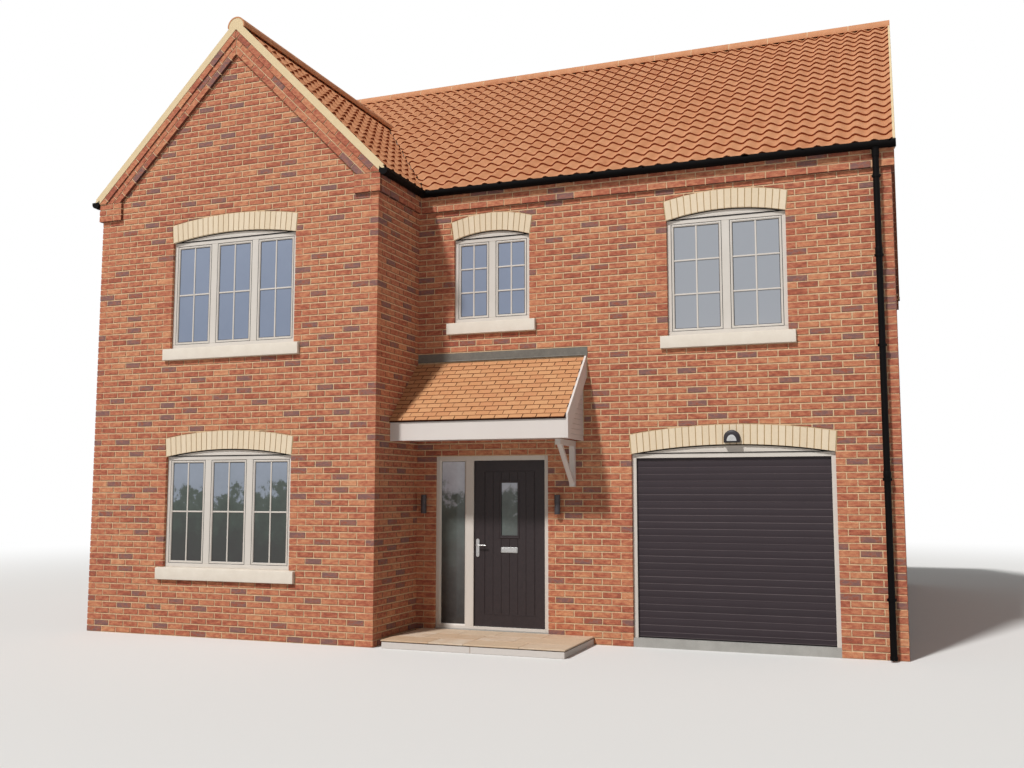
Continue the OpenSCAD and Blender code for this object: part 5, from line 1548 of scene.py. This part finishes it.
# Valleys: lead trays along the meeting lines of the two roofs, each a bent strip with two
# flanges. reach is how far their feet are from the gable's middle.
tray = dict(flange=0.05, low=-0.047, high=-0.044, reach=((-1, 1.96), (1, 2.115)))
pile = Pile()
for side, reach in tray["reach"]:
    foot = Vector((gableX + side * reach, (climb - reach) / mainTan,
                   house["gableRidgeZ"] - reach))
    head = Vector((gableX, climb / mainTan, house["gableRidgeZ"]))
    flow = (head - foot).normalized()
    flanges = [(v - flow * v.dot(flow)).normalized() * tray["flange"]
               for v in (Vector((side, 0, 0)), Vector((0, -1, 0)))]
    points = [base + flange + Vector((0, 0, lift)) for base in (foot, head)
              for lift in (tray["low"], tray["high"])
              for flange in (flanges[0], Vector((0, 0, 0)), flanges[1])]
    pile.add([tuple(p) for p in points],
             [[0, 6, 7, 1], [1, 7, 8, 2], [3, 4, 10, 9], [4, 5, 11, 10], [0, 1, 4, 3],
              [1, 2, 5, 4], [6, 9, 10, 7], [7, 10, 11, 8], [0, 3, 9, 6], [2, 8, 11, 5]])
makePiece("valley_trays", pile, ["lead"], "lead", closed=True)

# Verges: a pointed mortar bed between the end tiles and the strip below them
bed = dict(length=0.9, gap=0.001, low=-0.034, eave=-0.118, bevel=0.0015)
pile = Pile()
for slope, near, far, start, end, top in (
        (frontSlope, wide + 0.031, wide + 0.0585, bed["eave"], mainLength, 0.017),
        (frontSlope, -0.0585, -0.04, 0.14, mainLength, -0.018),
        (rearSlope, -0.0585, -0.03, bed["eave"], mainLength, -0.018),
        (rearSlope, wide + 0.031, wide + 0.0585, bed["eave"], mainLength, 0.017),
        (rightSlope, vergeFront - 0.0135, vergeFront + 0.014, bed["eave"], gableLength, 0.017),
        (leftSlope, -vergeFront - 0.014, 0.0135 - vergeFront, bed["eave"], gableLength, 0.017)):
    for i in range(math.ceil((end - start) / bed["length"])):
        s = start + i * bed["length"]
        addBox(pile, (near, s, bed["low"]),
               (far, min(s + bed["length"] - bed["gap"], end), top), bed["bevel"],
               dice.random(), 0, slope)
makePiece("verge_bedding", pile, ["roofMortar"], "mortar")
print("house: ridges and verges made")

# Rainwater goods: brackets and unions on the gutters, sockets and screws on the pipes. Runs
# and pipes hold place(along, across, z) or place(a, b, z); the middles are 91 mm off the walls.
gutter = dict(off=0.091, radius=0.056, rim=5.506, wall=0.019, sheet=0.002, steps=24, inset=0.03,
              strap=(0.028, 0.003), union=(0.07, 0.0025), unions=(0.34, 0.67), unionShift=0.2,
              spacing=0.86)
off = gutter["off"]


def gutterStrap(pile, place, along, size):
    # hugs the gutter from below and ends at its rim
    width, drop = size
    steps, r, inner = gutter["steps"], gutter["radius"], gutter["radius"] - gutter["sheet"]
    centre, top = gutter["rim"] - gutter["wall"], gutter["rim"] - 0.001
    turns = [math.radians(180 + 180 * i / steps) for i in range(steps + 1)]
    outside = [(r * math.cos(t), centre - drop + r * math.sin(t)) for t in turns]
    inside = [(inner * math.cos(t), centre + inner * math.sin(t)) for t in turns]
    section = ([(-r, top)] + outside + [(r, top)]
               + [(inner, top)] + inside[::-1] + [(-inner, top)])
    addRings(pile, [[place(a, x, z) for x, z in section] for a in (along, along + width)],
             loop=False, caps=True)


pile = Pile()
for place, start, end in (
        (lambda a, x, z: (a, -off - x, z), 4.25, vergeRight),
        (lambda a, x, z: (gableWide + off + x, a, z), vergeFront, -0.2),
        (lambda a, x, z: (-off - x, a, z), vergeFront, -0.05),
        (lambda a, x, z: (a, deep + off + x, z), vergeLeft, vergeRight)):
    count = max(1, round((end - start) / gutter["spacing"]))
    for i in range(count + 1):
        a = start + gutter["inset"] + (end - start - 3 * gutter["inset"]) * i / count
        gutterStrap(pile, place, a, gutter["strap"])
    if end - start > 3:
        for share in gutter["unions"]:
            gutterStrap(pile, place, start + (end - start) * share + gutter["unionShift"],
                        gutter["union"])
makePiece("gutter_straps", pile, ["blackPlastic"], "black_plastic", closed=True, smooth=40)

# A pipe's collars are (height, points), each point a radius and a height above that; the
# outlet under the gutter and the open foot have one each, and two lengths join in sockets.
pipe = dict(skin=0.033, steps=28, rim=0.0395, clips=(0.615, 1.855, 3.275, 4.245, 5.115),
            lug=(0.008, 0.007, 0.006, 0.002, 0.028), screw=0.0415, lugMiddle=0.015,
            screwProfile=[(0.0, -0.001), (0.0042, -0.001), (0.0042, 0.001), (0.003, 0.0022),
                          (0.0, 0.0024)])
skin = pipe["skin"]
socket = [(skin, 0.028), (0.0385, 0.03), (0.0395, 0.034), (0.0395, 0.096), (0.0385, 0.1),
          (skin, 0.1015)]
outlet = [(skin, 5.34), (0.0385, 5.342), (0.0395, 5.35), (0.0395, 5.425), (0.041, 5.432),
          (0.046, 5.438), (0.046, 5.441), (skin, 5.442)]
foot = [(skin, 0.016), (0.0372, 0.016), (0.0380, 0.022), (0.0380, 0.055), (0.0372, 0.06),
        (skin, 0.061)]


def above(place, x, y, z):
    # the same directions from another point
    return lambda a, b, h: place(x + a, y + b, z + h)


pile = Pile()
for place in (lambda a, b, z: (9.527 + a, -off - b, z),
              lambda a, b, z: (9.527 + a, deep + off + b, z),
              lambda a, b, z: (-off - b, -0.148 + a, z)):
    for z, profile in ((1.855, socket), (4.245, socket), (0, outlet), (0, foot)):
        addLathe(pile, above(place, 0, 0, z), profile, pipe["steps"])
    half, back, front, low, high = pipe["lug"]
    for z in pipe["clips"]:
        for side in (-1, 1):  # lugs and screws of the clips
            x = side * pipe["rim"]
            addBox(pile, (x - half, -back, z + low), (x + half, front, z + high), 0.0015,
                   place=place)
            addLathe(pile, lambda a, b, h: place(side * pipe["screw"] + a, front + h,
                                                 z + pipe["lugMiddle"] + b),
                     pipe["screwProfile"], 12)
makePiece("pipe_sockets", pile, ["blackPlastic"], "black_plastic", closed=True, smooth=40)

# Lights: two cylinders beside the door and a half-moon bulkhead over the garage. The
# cylinders' profile points are (inset, height) from the side, and from the foot or the head.
lamp = dict(radius=0.034, low=1.478, high=1.706, wall=0.054, left=4.16, right=5.885,
            fromFoot=((0.006, 0.012), (0.005, 0.001), (0.003, 0), (0.001, 0.001), (0, 0.004),
                      (0, 0.098), (0.0012, 0.1), (0.0012, 0.128), (0, 0.13)),
            fromHead=((0, 0.004), (0.001, 0.001), (0.003, 0), (0.005, 0.001), (0.006, 0.012)),
            lens=(0.008, 0.0125, 0.0065), arm=(0.015, 1.562, 1.622),
            armDepths=((0.02, 0.004, 0.003), (0.048, 0.0, 0.0015)))
r, low, high, wall = (lamp[key] for key in ("radius", "low", "high", "wall"))
body = [(0.0, low + 0.012)] + [(r - inset, low + z) for inset, z in lamp["fromFoot"]]
body += [(r - inset, high - z) for inset, z in lamp["fromHead"]] + [(0.0, high - 0.012)]
near, far, inset = lamp["lens"]
half, armLow, armHigh = lamp["arm"]
pile = Pile()
for x in (lamp["left"], lamp["right"]):
    addLathe(pile, lambda a, b, h: (x + a, b - wall, h), body, 36)
    for z0, z1 in ((low + near, low + far), (high - far, high - near)):
        addLathe(pile, lambda a, b, h: (x + a, b - wall, h),
                 [(0.0, z0), (r - inset, z0), (r - inset, z1), (0.0, z1)], 28, paint=1)
    for start, end, bevel in lamp["armDepths"]:
        addBox(pile, (x - half, start - wall, armLow), (x + half, -end, armHigh), bevel)
moon = dict(x=7.92, z=2.285, radius=0.09, base=0.05, steps=22,
            rings=((0.0, 0.0), (0.0, 0.05), (0.003, 0.06), (0.012, 0.067), (0.03, 0.07)),
            lens=(0.056, 0.014, 0.074, 0.066, 0.0712), lensSteps=20)
m = moon


def moonRing(inset, depth):
    # the half-moon's outline, drawn in from its edge
    r, low, steps = m["radius"] - inset, m["z"] + inset * 0.6, m["steps"]
    ring = [(r, low)]
    ring += [(r * math.cos(t), m["z"] + m["base"] + r * math.sin(t))
             for t in (math.pi * i / steps for i in range(steps + 1))] + [(-r, low)]
    return [mainFace(m["x"] + u, z, depth) for u, z in ring]


addRings(pile, [moonRing(*ring) for ring in m["rings"]], paint=2, loop=False, caps=True)
half, lift, rise, near, far = m["lens"]
addPrism(pile, [(half * math.cos(t), m["z"] + lift + rise * math.sin(t))
                for t in (math.pi * i / m["lensSteps"] for i in range(m["lensSteps"] + 1))],
         lambda u, z, d: mainFace(m["x"] + u, z, d), near, far, 0.003, paint=1)
makePiece("outside_lamps", pile, ["lightPaint", "lightLens", "hoodPaint"], "light_paint",
          stands=["outside_lights"], closed=True, smooth=35)
print("house: rainwater goods and lights made")


# Finishes of the frame's own pieces that stay
nodeFinish = dict(
    wallMortar="gable_front_wall gable_side_wall left_wall right_wall rear_wall"
               " front_wall_piers front_wall_upper eaves_bands kneelers raking_bands",
    concrete="ground_floor", floorTimber="first_floor", buffMortar="brick_arches",
    glass="window_glass door_glass", doorSkin="door_leaf", satinSteel="frame_hinges leaf_hinges",
    roofMortar="verge_mortar", blackPlastic="gutters downpipes")
for name, pieces in nodeFinish.items():
    for piece in pieces.split():
        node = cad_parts[piece]
        if not node.material_slots:
            node.data.materials.append(finish[name])
        for slot in node.material_slots:
            slot.material = finish[name]

# Floor, light and camera. The floor is pale to the camera, throws back as much light as paving
# would, and fades into the white backdrop between two distances from the house.
stage = dict(size=90, floor=(230, 229, 226), cloud=2, cloudScale=0.4, bounce=(188, 186, 182),
             fade=(9, 24), roughness=0.9, world=0.19, sun=3.0, sunSpread=5,
             sunTurn=(41.5, 0, -19.9))
bpy.ops.mesh.primitive_plane_add(size=stage["size"], location=(0, 0, 0))
floor = bpy.context.object
floor.name = "studio_floor"
material = bpy.data.materials.new("studioFloor")
graph = Graph(material)
shades = [[value + change for value in stage["floor"]]
          for change in (-stage["cloud"], stage["cloud"])]
clouds = graph.ramp(graph.noise({"Scale": stage["cloudScale"]}), list(enumerate(shades)))
toCamera = graph.add("LightPath").outputs["Is Camera Ray"]
paving = graph.fill(graph.nodes["Principled BSDF"], {
    "Base Color": graph.mix(toCamera, srgb(*stage["bounce"]), clouds),
    "Roughness": stage["roughness"]})
away = graph.add("VectorMath", {0: graph.place()}, operation="LENGTH").outputs["Value"]
white = graph.add("Emission").outputs[0]
blend = graph.add("MixShader", {0: graph.span(away, stage["fade"], smooth=True),
                                1: paving.outputs[0], 2: white})
graph.fill(graph.nodes["Material Output"], {"Surface": blend.outputs[0]})
floor.data.materials.append(material)

# the backdrop is white to camera, glossy and transmitted rays, and a plain soft light to others
world = bpy.data.worlds.new("studio")
bpy.context.scene.world = world
graph = Graph(world)
plainLight = graph.fill(graph.nodes["Background"], {"Color": (1, 1, 1, 1),
                                                    "Strength": stage["world"]})
shown = graph.add("Background", {"Color": (1, 1, 1, 1), "Strength": 1.0})
path = graph.add("LightPath").outputs
seen = graph.maths("MAXIMUM", graph.maths("MAXIMUM", path["Is Camera Ray"],
                                          path["Is Glossy Ray"]), path["Is Transmission Ray"])
blend = graph.add("MixShader", {0: seen, 1: plainLight.outputs[0], 2: shown.outputs[0]})
graph.fill(graph.nodes["World Output"], {"Surface": blend.outputs[0]})

sun = bpy.data.lights.new("soft_key", "SUN")
sun.energy = stage["sun"]
sun.angle = math.radians(stage["sunSpread"])
key = bpy.data.objects.new("soft_key", sun)
key.rotation_euler = [math.radians(value) for value in stage["sunTurn"]]
bpy.context.scene.collection.objects.link(key)

view = dict(lens=36.38, sensor=36, far=300, place=(4.852, -16.415, 1.753),
            look=(-0.3511, 0.9307, 0.1026))
camera = bpy.data.objects.new("camera", bpy.data.cameras.new("camera"))
camera.data.lens = view["lens"]
camera.data.sensor_width = view["sensor"]
camera.data.clip_end = view["far"]
camera.location = view["place"]
camera.rotation_euler = Vector(view["look"]).to_track_quat("-Z", "Y").to_euler()
bpy.context.scene.collection.objects.link(camera)
bpy.context.scene.camera = camera
bpy.context.scene.view_settings.view_transform = "Standard"
print("house: stage set")
